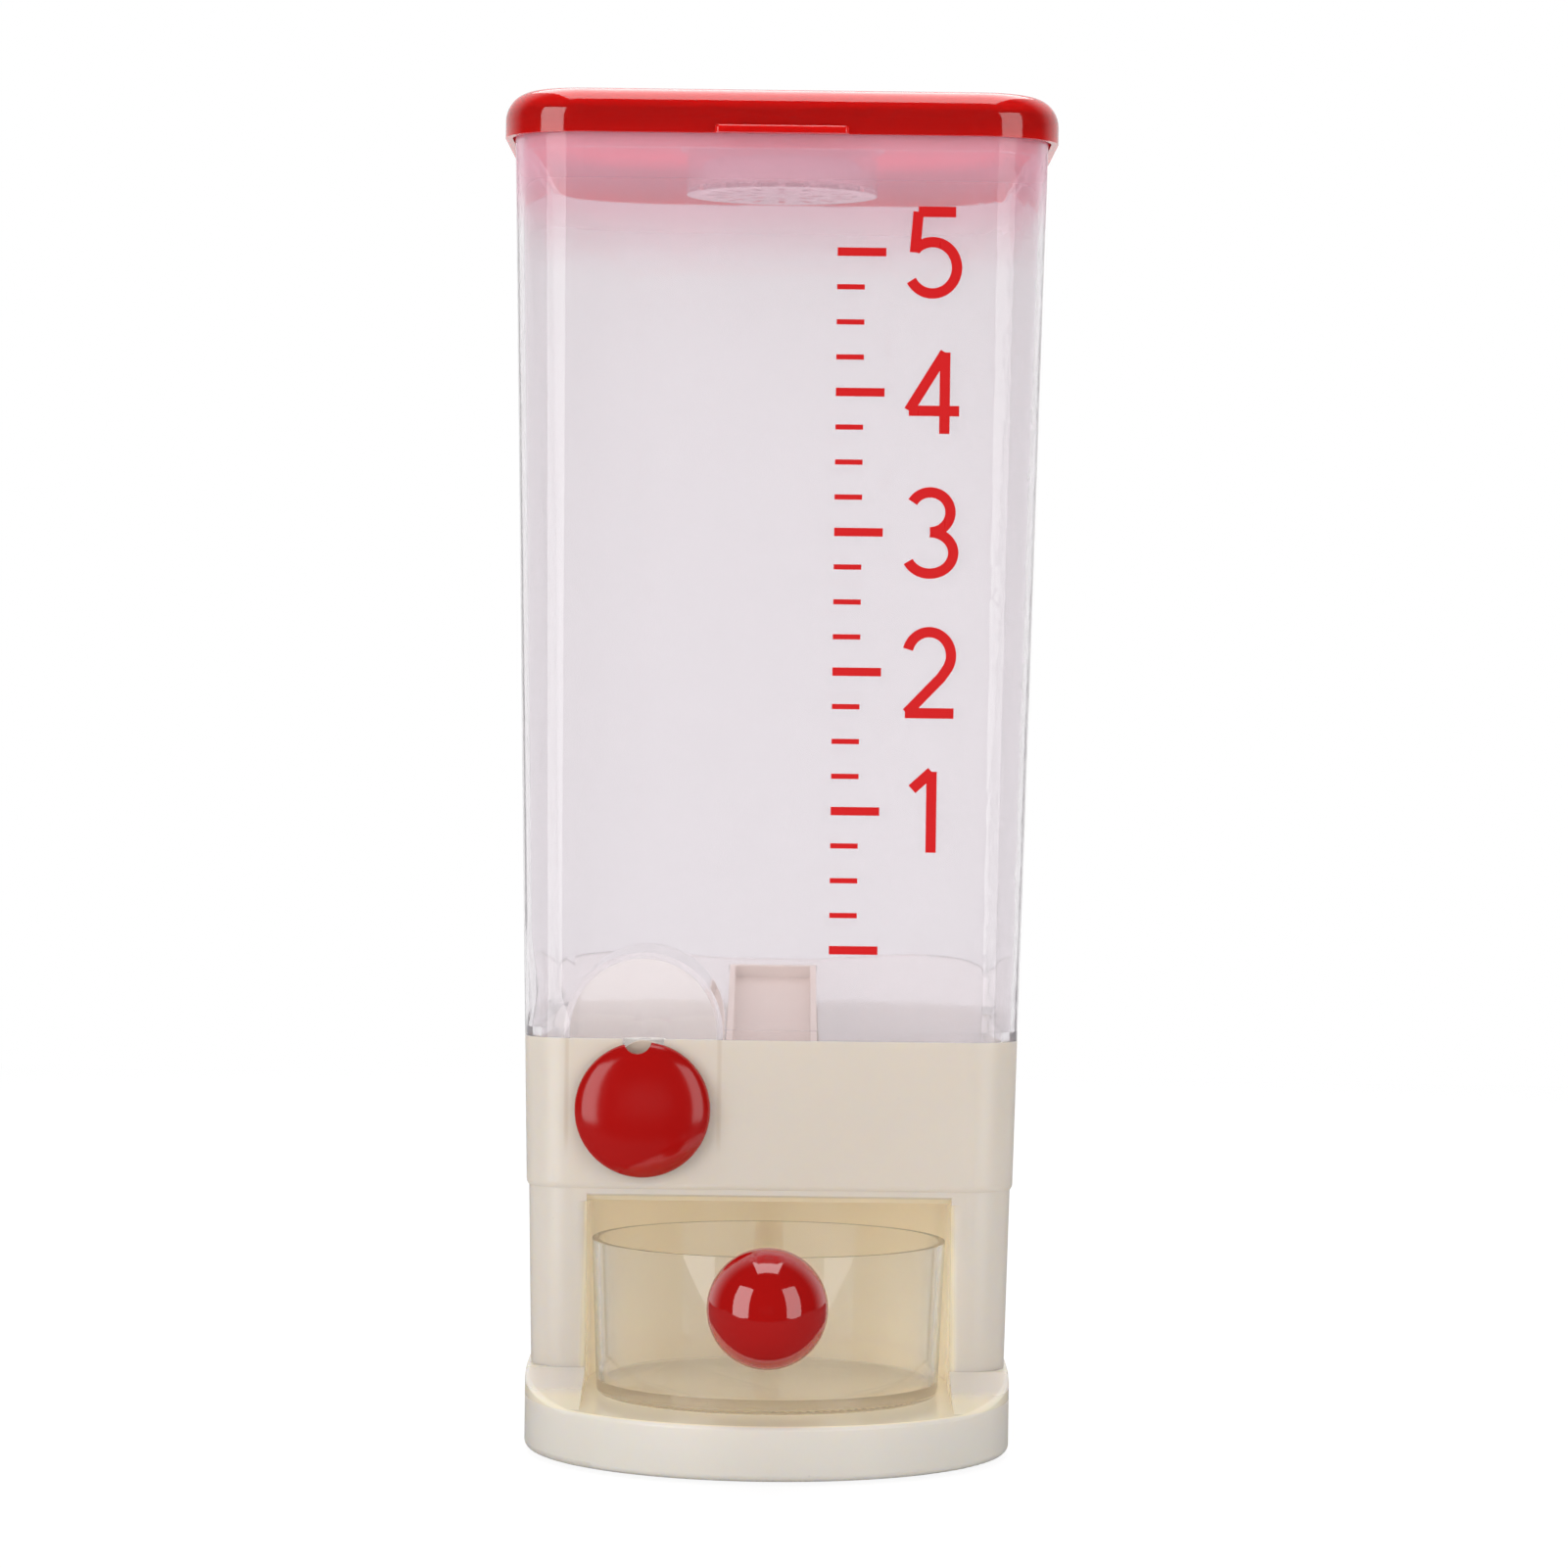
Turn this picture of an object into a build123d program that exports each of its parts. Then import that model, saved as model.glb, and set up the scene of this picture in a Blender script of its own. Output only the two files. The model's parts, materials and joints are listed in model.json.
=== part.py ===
from build123d import *
import math
import os

os.makedirs("parts", exist_ok=True)

# Main sizes of the clear body, millimetres
body_foot_width = 151.5
body_foot_depth = 181.5
body_height = 331.8
body_rim_reach = 7.25
body_wall = 2.2
front_corner_radius = 15.0
rear_corner_radius = 38.0
body_seat_thick = 3.0

# Cream housing and base tray
band_height = 47.5
pillar_height = 54.7
seam_z = 24.5
housing_step = 0.75
housing_wall = 2.6
deck_thick = 3.0
band_wall = 2.4
band_lip_radius = 3.0
brow_run = 4.0
brow_slope_share = 0.45
niche_share = 0.373
pillar_edge_radius = 3.0
base_step_width = 1.0
base_skirt_z = 1.0
base_wall = 2.6
apron_fall = 7.0
base_nose_forward = 2.0
base_shoulder_run = 45.0
base_edge_radius = 1.4
base_foot_radius = 2.2

# Lid
lid_rise = 8.8
lid_lap = 5.4
lid_overhang = 3.0
lid_wall = 2.2
lid_top_thick = 2.6
lid_edge_radius = 9.0
plug_wall = 2.0
plug_reach = 9.4
plug_gap = 1.2
seal_thick = 2.4
tab_width = 41.0
tab_reach = 3.0
tab_thick = 2.4
tab_corner_radius = 1.4
tab_edge_radius = 1.0

# Rear hinge
barrel_radius = 4.0
hinge_gap = 0.5
hinge_rise = 1.4
pin_radius = 2.0
knuckle_half = 14.0
ear_width = 8.0
ear_drop = 4.4
ear_slope_degrees = 11.3

# Round desiccant case under the lid
case_radius = 31.0
case_wall = 1.6
case_height = 21.2
cap_thick = 2.0
cap_spigot = 5.0
pack_side_gap = 1.75
pack_thick = 9.0
pack_edge_radius = 3.0
socket_wall = 1.8
socket_height = 6.7
vent_width = 2.0
vent_lengths = (5.0, 7.0)
vent_radius_shares = (0.355, 0.677)
vent_counts = (8, 16)

# Measuring cup and its ball
cup_side_gap = 1.9
cup_taper = 1.8
cup_head_gap = 10.5
cup_wall = 2.0
cup_floor = 4.5
cup_home = 27.5
cup_foot_edge = 1.5
ball_radius = 18.0
ball_stand = 21.4
ball_drop = 12.7
ball_stem_radius = 5.5
pad_radius = 6.5
pad_lift = 0.8

# Lifting knob, its track and the gate
knob_side_share = 0.2607
knob_share = 0.1386
knob_travel = 24.0
knob_lift = 8.5
knob_wall = 3.0
knob_post_radius = 6.0
knob_rim_fall = 6.5
knob_crown_thick = 5.2
knob_dome_steps = 6
notch_radius = 4.4
notch_depth = 3.6
notch_side = 1.7
track_gap = 1.7
track_foot = 3.1
tunnel_wall = 1.8
tunnel_depth = 58.0
carriage_thick = 3.5
carriage_half_width = 16.0
carriage_foot = 4.8
carriage_rise = 9.0
tongue_radius = 8.5
lug_foot = 3.3
lug_height = 6.0
lug_radius = 5.0
rod_back = 20.0
rod_radius = 2.0
rod_sink = 2.0
rod_boss_radius = 4.5
rod_boss_height = 2.4
rod_cap_radius = 6.5
rod_cap_thick = 2.0
rod_cap_rise = 44.2
spring_radius = 4.2
spring_wire = 0.45
spring_turns = 8
spring_seat = 0.05
gate_thick = 2.0
gate_side = 6.5
gate_lap = 2.5
window_foot = 11.8
window_height = 14.0
window_front = 22.0
window_back = 48.0

# Hopper floor, chute and spout
floor_thick = 2.0
floor_back_rise = 63.8
floor_fall = 31.7
floor_side_share = 0.07
chute_gap = 0.3
chute_wall = 2.0
chute_front = 20.0
chute_back_gap = 9.0
chute_end_depth = 3.0
chute_rib = 3.0
spout_left_reach = 8.5
spout_right_reach = 15.5
spout_front = 24.5
spout_back = 44.0
spout_wall = 1.6
spout_flange = 2.0
spout_flange_thick = 1.4
spout_drop = 0.6

# Bottom plate, feet and screws
plate_thick = 3.0
foot_radius = 7.0
foot_sink = 1.2
foot_front_side_share = 0.535
foot_front_reach_share = 0.48
foot_rear_side_share = 0.455
foot_rear_inset = 22.6
post_radius = 4.5
post_front_inset = 9.8
post_front_back = 9.0
post_rear_inset = 22.8
post_back_inset = 38.6
screw_radius = 1.7
screw_head_radius = 3.4
screw_head_thick = 1.7
screw_bite = 12.0
small_screw_radius = 1.2
small_head_radius = 2.4
small_head_thick = 1.4
small_screw_margin = 4.0
ball_screw_bite = 14.0

# Clearances and the overrun of every cut
nest_gap = 0.35
free_gap = 0.4
running_gap = 0.05
overrun = 5.0

# Levels that follow from the sizes above
body_foot_z = seam_z + pillar_height
body_rim_z = body_foot_z + body_height
band_top_z = body_foot_z + band_height
body_seat_z = band_top_z + body_seat_thick
deck_low_z = body_foot_z - deck_thick
base_floor_z = seam_z - apron_fall
plate_top_z = base_skirt_z + plate_thick
lid_top_z = body_rim_z + lid_rise
lid_skirt_z = body_rim_z - lid_lap
lid_under_z = lid_top_z - lid_top_thick
plug_foot_z = body_rim_z - plug_reach
seal_top_z = body_rim_z + seal_thick
hinge_z = lid_skirt_z + hinge_rise
case_foot_z = lid_under_z - case_height
spout_foot_z = deck_low_z - spout_drop
cup_height = spout_foot_z - cup_head_gap - base_floor_z
ball_z = base_floor_z + cup_height - ball_drop
floor_back_z = body_foot_z + floor_back_rise

# Plan of the body, base, niche and cup
draft_share = body_rim_reach / body_height
body_rim_depth = body_foot_depth + 2 * body_rim_reach
pillar_drawn_in = housing_step + pillar_height * draft_share
pillar_offset = body_foot_depth / 2 - pillar_drawn_in
nose_radius = body_foot_width / 2 - pillar_drawn_in + base_step_width
base_width = 2 * nose_radius
niche_half_width = body_foot_width * niche_share
cup_rim_radius = niche_half_width - cup_side_gap
cup_foot_radius = cup_rim_radius - cup_taper
ball_reach = cup_rim_radius + ball_stand
hinge_offset = body_rim_depth / 2 + lid_overhang + hinge_gap + barrel_radius
body_y = (pillar_offset + ball_reach + ball_radius - hinge_offset - barrel_radius) / 2
pillar_y = body_y - pillar_offset
hinge_y = body_y + hinge_offset
home_y = pillar_y + cup_home
nose_y = pillar_y - base_nose_forward
base_back_y = body_y + nose_radius + (body_foot_depth - body_foot_width) / 2
cup_axis_y = pillar_y
inside_inset = body_wall + nest_gap
skirt_inset = band_wall + nest_gap
low_inset = skirt_inset + body_wall + nest_gap
plug_inset = lid_overhang + body_wall + plug_gap
pack_radius = case_radius - 2 * case_wall - running_gap - pack_side_gap

# Knob, carriage, gate and spout
knob_x = -body_foot_width * knob_side_share
knob_radius = body_foot_width * knob_share
track_radius = knob_radius + track_gap
knob_z = body_foot_z + track_foot + track_radius
knob_face_y = body_y - body_foot_depth / 2 - (knob_z - body_foot_z) * draft_share
knob_front_y = knob_face_y - knob_lift
knob_hollow_y = knob_front_y + knob_crown_thick
lift_top_z = knob_z + knob_travel + knob_radius
lift_face_y = body_y - body_foot_depth / 2 - (lift_top_z - body_foot_z) * draft_share
knob_back_y = lift_face_y - free_gap
band_back_y = body_y - body_foot_depth / 2 + band_wall
post_slot_half = knob_post_radius + free_gap
carriage_front_y = band_back_y + free_gap
carriage_back_y = carriage_front_y + carriage_thick
tongue_z = knob_z + knob_radius - tongue_radius
carriage_low_z = body_foot_z + carriage_foot
carriage_high_z = knob_z + carriage_rise
lug_low_z = body_foot_z + lug_foot
lug_high_z = lug_low_z + lug_height
rod_y_pos = pillar_y + rod_back
rod_cap_z = body_foot_z + rod_cap_rise
rod_top_z = rod_cap_z + rod_cap_thick
window_low_z = body_foot_z + window_foot
window_high_z = window_low_z + window_height
gate_right_x = knob_x + track_radius - 2 * free_gap
gate_left_x = gate_right_x - gate_thick
gate_flange_left_x = knob_x + gate_side
gate_low_z = window_low_z - gate_lap
gate_high_z = window_high_z + gate_lap
gate_back_y = pillar_y + window_back + gate_lap
spout_left = knob_x - spout_left_reach
spout_right = knob_x + spout_right_reach

# Hopper floor and chute
chute_half_width = -knob_x - track_radius - tunnel_wall - chute_gap
chute_front_y = pillar_y + chute_front
floor_back_y = body_y + body_foot_depth / 2 + floor_back_rise * draft_share - inside_inset
floor_fall_share = floor_fall / (floor_back_y - chute_front_y)
chute_back_y = floor_back_y - chute_back_gap

# Places of the screw posts, feet and vents
post_front_side = nose_radius - post_front_inset
post_rear_side = nose_radius - post_rear_inset
post_front_y = pillar_y + post_front_back
post_rear_y = base_back_y - post_back_inset
post_places = (
    (-post_front_side, post_front_y),
    (post_front_side, post_front_y),
    (-post_rear_side, post_rear_y),
    (post_rear_side, post_rear_y),
)
foot_front_side = nose_radius * foot_front_side_share
foot_rear_side = nose_radius * foot_rear_side_share
foot_front_y = pillar_y - nose_radius * foot_front_reach_share
foot_rear_y = base_back_y - foot_rear_inset
foot_places = (
    (-foot_front_side, foot_front_y),
    (foot_front_side, foot_front_y),
    (-foot_rear_side, foot_rear_y),
    (foot_rear_side, foot_rear_y),
)
vent_radii = tuple(case_radius * share for share in vent_radius_shares)
vent_rings = tuple(zip(vent_radii, vent_lengths, vent_counts))


# Rounded plan outline with its flat front towards -Y
def plan(width, depth, front_radius, rear_radius):
    outline = Rectangle(width, depth)
    outline = fillet(outline.vertices().group_by(Axis.Y)[0], front_radius)
    return fillet(outline.vertices().group_by(Axis.Y)[-1], rear_radius)


# Section of the tapered body at a height, drawn in by an inset
def section(z, inset):
    grow = (z - body_foot_z) * draft_share - inset
    outline = plan(
        body_foot_width + 2 * grow,
        body_foot_depth + 2 * grow,
        front_corner_radius + grow,
        rear_corner_radius + grow,
    )
    return Pos(0, body_y, z) * outline


# Tapered block between two heights
def tapered(z_low, z_high, inset):
    return loft([section(z_low, inset), section(z_high, inset)], ruled=True)


# Upright block with the lid's outline, drawn in by an inset
def lid_block(inset, z_low, z_high):
    grow = body_rim_reach + lid_overhang - inset
    outline = plan(
        body_foot_width + 2 * grow,
        body_foot_depth + 2 * grow,
        front_corner_radius + grow,
        rear_corner_radius + grow,
    )
    return extrude(Pos(0, body_y, z_low) * outline, z_high - z_low)


# Plain box between limits
def block(x_low, x_high, y_low, y_high, z_low, z_high):
    middle = Pos((x_low + x_high) / 2, (y_low + y_high) / 2, (z_low + z_high) / 2)
    return middle * Box(x_high - x_low, y_high - y_low, z_high - z_low)


# Outline drawn in X and Z, run from a near to a far Y
def front_prism(outline, y_near, y_far):
    sheet = Plane(origin=(0, y_far, 0), x_dir=(1, 0, 0), z_dir=(0, -1, 0))
    return extrude(sheet * outline, y_far - y_near)


# Outline drawn in Y and Z, run from a left to a right X
def side_prism(outline, x_left, x_right):
    sheet = Plane(origin=(x_left, 0, 0), x_dir=(0, 1, 0), z_dir=(1, 0, 0))
    return extrude(sheet * outline, x_right - x_left)


def polygon(*points):
    return make_face(Polyline(*points, close=True))


def rod_up(x, y, z_low, z_high, radius):
    return Pos(x, y, z_low) * extrude(Circle(radius), z_high - z_low)


def rod_deep(x, z, y_near, y_far, radius):
    return front_prism(Pos(x, z) * Circle(radius), y_near, y_far)


def rod_across(y, z, x_left, x_right, radius):
    return side_prism(Pos(y, z) * Circle(radius), x_left, x_right)


# Upright passage for the cup: straight sides and a round end
def niche_block(half_width, y_near, z_low, z_high):
    straight = block(-half_width, half_width, y_near, home_y, z_low, z_high)
    return straight + rod_up(0, home_y, z_low, z_high, half_width)


# Arched doorway outline of the knob's tunnel
def arch(half_width):
    spring_z = knob_z + knob_travel
    wall = Pos(knob_x, (body_foot_z + spring_z) / 2) * Rectangle(2 * half_width, spring_z - body_foot_z)
    return wall + Pos(knob_x, spring_z) * Circle(half_width)


# Level of the hopper floor's middle strip at a depth
def floor_z_at(y):
    return floor_back_z + (y - floor_back_y) * floor_fall_share


def lid_cover():
    lid = lid_block(0, lid_skirt_z, lid_top_z)
    lid = fillet(lid.faces().sort_by(Axis.Z)[-1].edges(), lid_edge_radius)
    groove = lid_block(lid_wall, lid_skirt_z - overrun, seal_top_z)
    lid -= groove - lid_block(plug_inset, lid_skirt_z - overrun, seal_top_z)
    lid += lid_block(plug_inset, plug_foot_z, lid_skirt_z + overrun)
    lid -= lid_block(plug_inset + plug_wall, plug_foot_z - overrun, lid_under_z)
    bore = case_radius + free_gap
    socket_z = lid_under_z - socket_height
    socket = rod_up(0, body_y, socket_z, lid_under_z + lid_top_thick / 2, bore + socket_wall)
    lid += socket - rod_up(0, body_y, socket_z - overrun, lid_under_z, bore)
    lid_front_y = body_y - body_rim_depth / 2 - lid_overhang
    tab = block(
        -tab_width / 2,
        tab_width / 2,
        lid_front_y - tab_reach,
        lid_front_y + lid_wall / 2,
        lid_skirt_z,
        lid_skirt_z + tab_thick,
    )
    tab = fillet(tab.edges().filter_by(Axis.Z).group_by(Axis.Y)[0], tab_corner_radius)
    top_edges = tab.faces().sort_by(Axis.Z)[-1].edges()
    lid += fillet([edge for edge in top_edges if edge.center().Y < lid_front_y], tab_edge_radius)
    lid_back_y = body_y + body_rim_depth / 2 + lid_overhang
    lid += block(
        -knuckle_half, knuckle_half, lid_back_y - lid_wall / 2, hinge_y, hinge_z, hinge_z + barrel_radius
    )
    lid += rod_across(hinge_y, hinge_z, -knuckle_half, knuckle_half, barrel_radius)
    reach = knuckle_half + overrun
    return lid - rod_across(hinge_y, hinge_z, -reach, reach, pin_radius + running_gap)


def lid_seal():
    outer = lid_block(lid_wall + free_gap, body_rim_z, seal_top_z)
    return outer - lid_block(plug_inset - free_gap, body_rim_z - overrun, seal_top_z + overrun)


def hinge_pin():
    reach = knuckle_half + free_gap + ear_width
    return rod_across(hinge_y, hinge_z, -reach, reach, pin_radius)


def desiccant_case():
    low_z = case_foot_z + cap_thick
    case = rod_up(0, body_y, low_z, lid_under_z, case_radius)
    return case - rod_up(0, body_y, low_z - overrun, lid_under_z - case_wall, case_radius - case_wall)


def desiccant_cap():
    top_z = case_foot_z + cap_thick
    bore = case_radius - case_wall - running_gap
    cap = rod_up(0, body_y, case_foot_z, top_z, case_radius)
    cap += rod_up(0, body_y, top_z, top_z + cap_spigot, bore)
    cap -= rod_up(0, body_y, top_z, top_z + cap_spigot + overrun, bore - case_wall)
    for radius, length, count in vent_rings:
        slot = extrude(Rectangle(length, vent_width), cap_thick + 2 * overrun)
        for turn in range(count):
            spoke = Pos(0, body_y, case_foot_z - overrun) * Rot(0, 0, 360 * turn / count)
            cap -= spoke * Pos(radius, 0) * slot
    return cap


def desiccant_pack():
    low_z = case_foot_z + cap_thick
    pack = rod_up(0, body_y, low_z, low_z + pack_thick, pack_radius)
    return fillet(pack.edges(), pack_edge_radius)


def hinge_ears():
    wall_y = body_y + body_rim_depth / 2 - body_wall / 2
    top_z = lid_skirt_z - 2 * free_gap
    slope = math.radians(ear_slope_degrees)
    lean = barrel_radius * math.sin(slope)
    low = barrel_radius * math.cos(slope)
    arm = polygon(
        (wall_y - ear_drop * draft_share, lid_skirt_z - ear_drop),
        (wall_y, top_z),
        (hinge_y, top_z),
        (hinge_y + lean, hinge_z - low),
    )
    ears = []
    for left in (-knuckle_half - free_gap - ear_width, knuckle_half + free_gap):
        ear = side_prism(arm, left, left + ear_width)
        ear += rod_across(hinge_y, hinge_z, left, left + ear_width, barrel_radius)
        ears.append(ear)
    reach = knuckle_half + ear_width + overrun
    bore = rod_across(hinge_y, hinge_z, -reach, reach, pin_radius + running_gap)
    return ears[0] - bore, ears[1] - bore


# Tapered wall on the band's top, with a drawn-in foot inside the band
def clear_body():
    body = tapered(band_top_z, body_rim_z, 0)
    for ear in hinge_ears():
        body += ear
    body += tapered(body_foot_z, band_top_z, skirt_inset)
    body -= tapered(body_seat_z, body_rim_z + overrun, body_wall)
    body -= tapered(body_foot_z - overrun, body_seat_z, skirt_inset + body_wall)
    near_y = knob_face_y - overrun
    far_y = pillar_y + low_inset + overrun
    behind = tapered(body_foot_z - overrun, body_seat_z + overrun, body_wall)
    doorway = front_prism(arch(track_radius + tunnel_wall + nest_gap), near_y, far_y)
    body -= doorway & behind
    return body - front_prism(arch(track_radius), near_y, far_y)


def gate_tunnel():
    back_y = pillar_y + tunnel_depth
    near_y = knob_face_y - overrun
    shell = front_prism(arch(track_radius + tunnel_wall), near_y, back_y)
    shell -= front_prism(arch(track_radius), near_y - overrun, back_y - tunnel_wall)
    top_z = knob_z + knob_travel + track_radius + tunnel_wall + overrun
    shell &= tapered(body_foot_z - overrun, top_z, skirt_inset)
    right_x = knob_x + track_radius
    return shell - block(
        right_x - tunnel_wall,
        right_x + 2 * tunnel_wall,
        pillar_y + window_front,
        pillar_y + window_back,
        window_low_z,
        window_high_z,
    )


# One sheet of the hopper floor, tilted to the front and to the middle
def floor_sheet(side_share, start_x):
    tilt = Plane(
        origin=(start_x, floor_back_y, floor_back_z), z_dir=(-side_share, -floor_fall_share, 1)
    )
    return extrude(tilt * Rectangle(4 * body_foot_width, 4 * body_foot_depth), -floor_thick)


def hopper_floor():
    step_z = body_seat_z + nest_gap
    inside_low = tapered(body_foot_z, step_z, low_inset)
    inside_high = tapered(step_z, floor_back_z + body_foot_z, inside_inset)
    inside = inside_low + inside_high
    slot = chute_half_width + nest_gap
    far = body_foot_depth
    sheets = floor_sheet(0, 0) & block(-slot, slot, -far, far, 0, body_rim_z)
    right = floor_sheet(floor_side_share, slot) & block(slot, far, -far, far, 0, body_rim_z)
    left = floor_sheet(-floor_side_share, -slot) & block(-far, -slot, -far, far, 0, body_rim_z)
    floor = (sheets + right + left) & inside
    floor -= block(-slot, slot, chute_front_y - nest_gap, chute_back_y + nest_gap, 0, body_rim_z)
    doorway = arch(track_radius + tunnel_wall + nest_gap)
    return floor - front_prism(doorway, pillar_y - overrun, pillar_y + tunnel_depth + nest_gap)


def outlet_chute():
    front_y = chute_front_y
    back_y = chute_back_y
    end_floor_z = floor_z_at(back_y) - chute_end_depth
    side = polygon(
        (front_y, window_low_z - chute_wall),
        (back_y, end_floor_z - chute_wall),
        (back_y, floor_z_at(back_y)),
        (front_y, floor_z_at(front_y)),
    )
    chute = side_prism(side, -chute_half_width, chute_half_width)
    fall = (end_floor_z - window_low_z) / (back_y - front_y)
    hollow_front_y = pillar_y + window_front
    hollow = polygon(
        (hollow_front_y, window_low_z),
        (back_y - chute_wall, window_low_z + fall * (back_y - chute_wall - hollow_front_y)),
        (back_y - chute_wall, floor_back_z + overrun),
        (hollow_front_y, floor_back_z + overrun),
    )
    inner = chute_half_width - chute_wall
    chute -= side_prism(hollow, -inner, inner)
    rib = polygon(
        (front_y, body_foot_z),
        (back_y, body_foot_z),
        (back_y, end_floor_z - chute_wall / 2),
        (front_y, window_low_z - chute_wall / 2),
    )
    chute += side_prism(rib, -chute_rib / 2, chute_rib / 2)
    return chute - block(
        -chute_half_width - overrun,
        -inner + chute_wall,
        hollow_front_y,
        pillar_y + window_back,
        window_low_z,
        window_high_z,
    )


# Pillars, niche and deck under the band
def housing_lower():
    outer = tapered(seam_z, body_foot_z, housing_step)
    hollow = tapered(seam_z - overrun, deck_low_z, housing_step + housing_wall)
    front_y = pillar_y - overrun
    cheek = niche_block(niche_half_width + housing_wall, front_y, seam_z, deck_low_z) & outer
    lower = outer - hollow + cheek
    for x, y in post_places:
        lower += rod_up(x, y, seam_z, deck_low_z, post_radius)
    lower -= niche_block(niche_half_width, front_y, seam_z - overrun, deck_low_z)
    for x, y in post_places:
        lower -= rod_up(x, y, seam_z - overrun, seam_z + screw_bite + overrun, screw_radius + running_gap)
    uprights = [
        edge
        for edge in lower.edges()
        if abs(abs(edge.center().X) - niche_half_width) < free_gap
        and edge.center().Y < pillar_y + overrun
        and edge.center().Z < deck_low_z - overrun
        and edge.center().Z > seam_z + overrun
    ]
    return fillet(uprights, pillar_edge_radius) - niche_brow()


# Slanted cut under the front edge of the niche's ceiling
def niche_brow():
    back_y = pillar_y + brow_run
    front_y = pillar_y - overrun
    wedge = polygon(
        (back_y, deck_low_z),
        (back_y, deck_low_z - overrun),
        (front_y, deck_low_z - overrun),
        (front_y, deck_low_z + (brow_run + overrun) * brow_slope_share),
    )
    return side_prism(wedge, -niche_half_width, niche_half_width)


# Upright slot in the band for the knob's post
def post_slot():
    near_y = knob_face_y - overrun
    far_y = pillar_y + rod_back
    left_x = knob_x - post_slot_half
    slot = block(left_x, left_x + 2 * post_slot_half, near_y, far_y, knob_z, band_top_z + overrun)
    return slot + rod_deep(knob_x, knob_z, near_y, far_y, post_slot_half)


# Cream band round the body's foot, with a rounded lip over the pillars
def band():
    ring = tapered(body_foot_z, band_top_z, 0)
    ring = fillet(ring.faces().sort_by(Axis.Z)[0].edges(), band_lip_radius)
    ring += tapered(body_foot_z, body_foot_z + band_lip_radius, housing_step)
    ring -= tapered(body_foot_z, band_top_z + overrun, band_wall)
    return ring - post_slot()


def housing():
    shell = housing_lower() + band()
    shell += rod_up(knob_x, rod_y_pos, deck_low_z, body_foot_z + rod_boss_height, rod_boss_radius)
    shell -= rod_up(
        knob_x, rod_y_pos, body_foot_z - rod_sink, band_top_z, rod_radius + running_gap
    )
    return shell - block(
        spout_left - nest_gap,
        spout_right + nest_gap,
        pillar_y + spout_front - nest_gap,
        pillar_y + spout_back + nest_gap,
        deck_low_z - overrun,
        body_foot_z + overrun,
    )


def outlet_spout():
    front_y = pillar_y + spout_front
    back_y = pillar_y + spout_back
    top_z = body_foot_z + spout_flange_thick
    spout = block(spout_left, spout_right, front_y, back_y, spout_foot_z, top_z)
    spout += block(
        spout_left - spout_flange,
        spout_right + spout_flange,
        front_y,
        back_y + spout_flange,
        body_foot_z,
        top_z,
    )
    return spout - block(
        spout_left + spout_wall,
        spout_right - spout_wall,
        front_y + spout_wall,
        back_y - spout_wall,
        spout_foot_z - overrun,
        top_z + overrun,
    )


# Plan of the base: straight sides, round front, rounded rear corners
def base_block(inset, z_low, z_high):
    half = nose_radius - inset
    back_y = base_back_y - inset
    outline = Pos(0, (nose_y + back_y) / 2) * Rectangle(2 * half, back_y - nose_y)
    outline = fillet(outline.vertices().group_by(Axis.Y)[-1], rear_corner_radius - inset)
    outline += Pos(0, nose_y) * Circle(half)
    return extrude(Pos(0, 0, z_low) * outline, z_high - z_low)


def base_tray():
    base = base_block(0, base_skirt_z, seam_z)
    base = fillet(base.faces().sort_by(Axis.Z)[0].edges(), base_foot_radius)
    far_y = nose_y - nose_radius - overrun
    apron = polygon(
        (pillar_y, seam_z),
        (pillar_y - base_shoulder_run, base_floor_z),
        (far_y, base_floor_z),
        (far_y, seam_z + overrun),
        (pillar_y, seam_z + overrun),
    )
    base -= side_prism(apron, -base_width, base_width)
    base = fillet(base_rim_edges(base), base_edge_radius)
    base -= niche_block(niche_half_width, far_y, base_floor_z, seam_z + overrun)
    ceiling_z = base_floor_z - base_wall
    base -= base_block(base_wall, base_skirt_z - overrun, ceiling_z)
    pocket = base_block(base_wall, ceiling_z - overrun, seam_z - base_wall)
    pocket -= niche_block(niche_half_width + base_wall, far_y, 0, seam_z)
    base -= pocket & block(-base_width, base_width, pillar_y + base_wall, base_back_y, 0, seam_z)
    for x, y in post_places:
        base += rod_up(x, y, plate_top_z, seam_z - base_wall / 2, post_radius)
    for x, y in post_places:
        base -= rod_up(x, y, 0, seam_z + overrun, screw_radius + free_gap)
    return base


# Top edges of the base's round front
def base_rim_edges(base):
    rim = []
    for edge in base.edges():
        middle = edge @ 0.5
        reach = math.hypot(middle.X, middle.Y - nose_y)
        on_front = middle.Y < nose_y and abs(reach - nose_radius) < free_gap
        if on_front and middle.Z > base_floor_z - free_gap:
            rim.append(edge)
    return rim


def base_plate():
    plate = base_block(base_wall + nest_gap, base_skirt_z, plate_top_z)
    for x, y in post_places:
        plate -= rod_up(x, y, 0, plate_top_z + overrun, screw_radius + free_gap)
        sink_z = base_skirt_z + screw_head_thick
        plate -= rod_up(x, y, 0, sink_z, screw_head_radius + free_gap)
    for x, y in foot_places:
        plate -= rod_up(x, y, 0, base_skirt_z + foot_sink, foot_radius + free_gap)
    return plate


def feet():
    return Compound(
        children=[rod_up(x, y, 0, base_skirt_z + foot_sink, foot_radius) for x, y in foot_places]
    )


def base_screws():
    seat_z = base_skirt_z + screw_head_thick
    screws = []
    for x, y in post_places:
        screw = rod_up(x, y, base_skirt_z, seat_z, screw_head_radius)
        screws.append(screw + rod_up(x, y, seat_z, seam_z + screw_bite, screw_radius))
    return Compound(children=screws)


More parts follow.
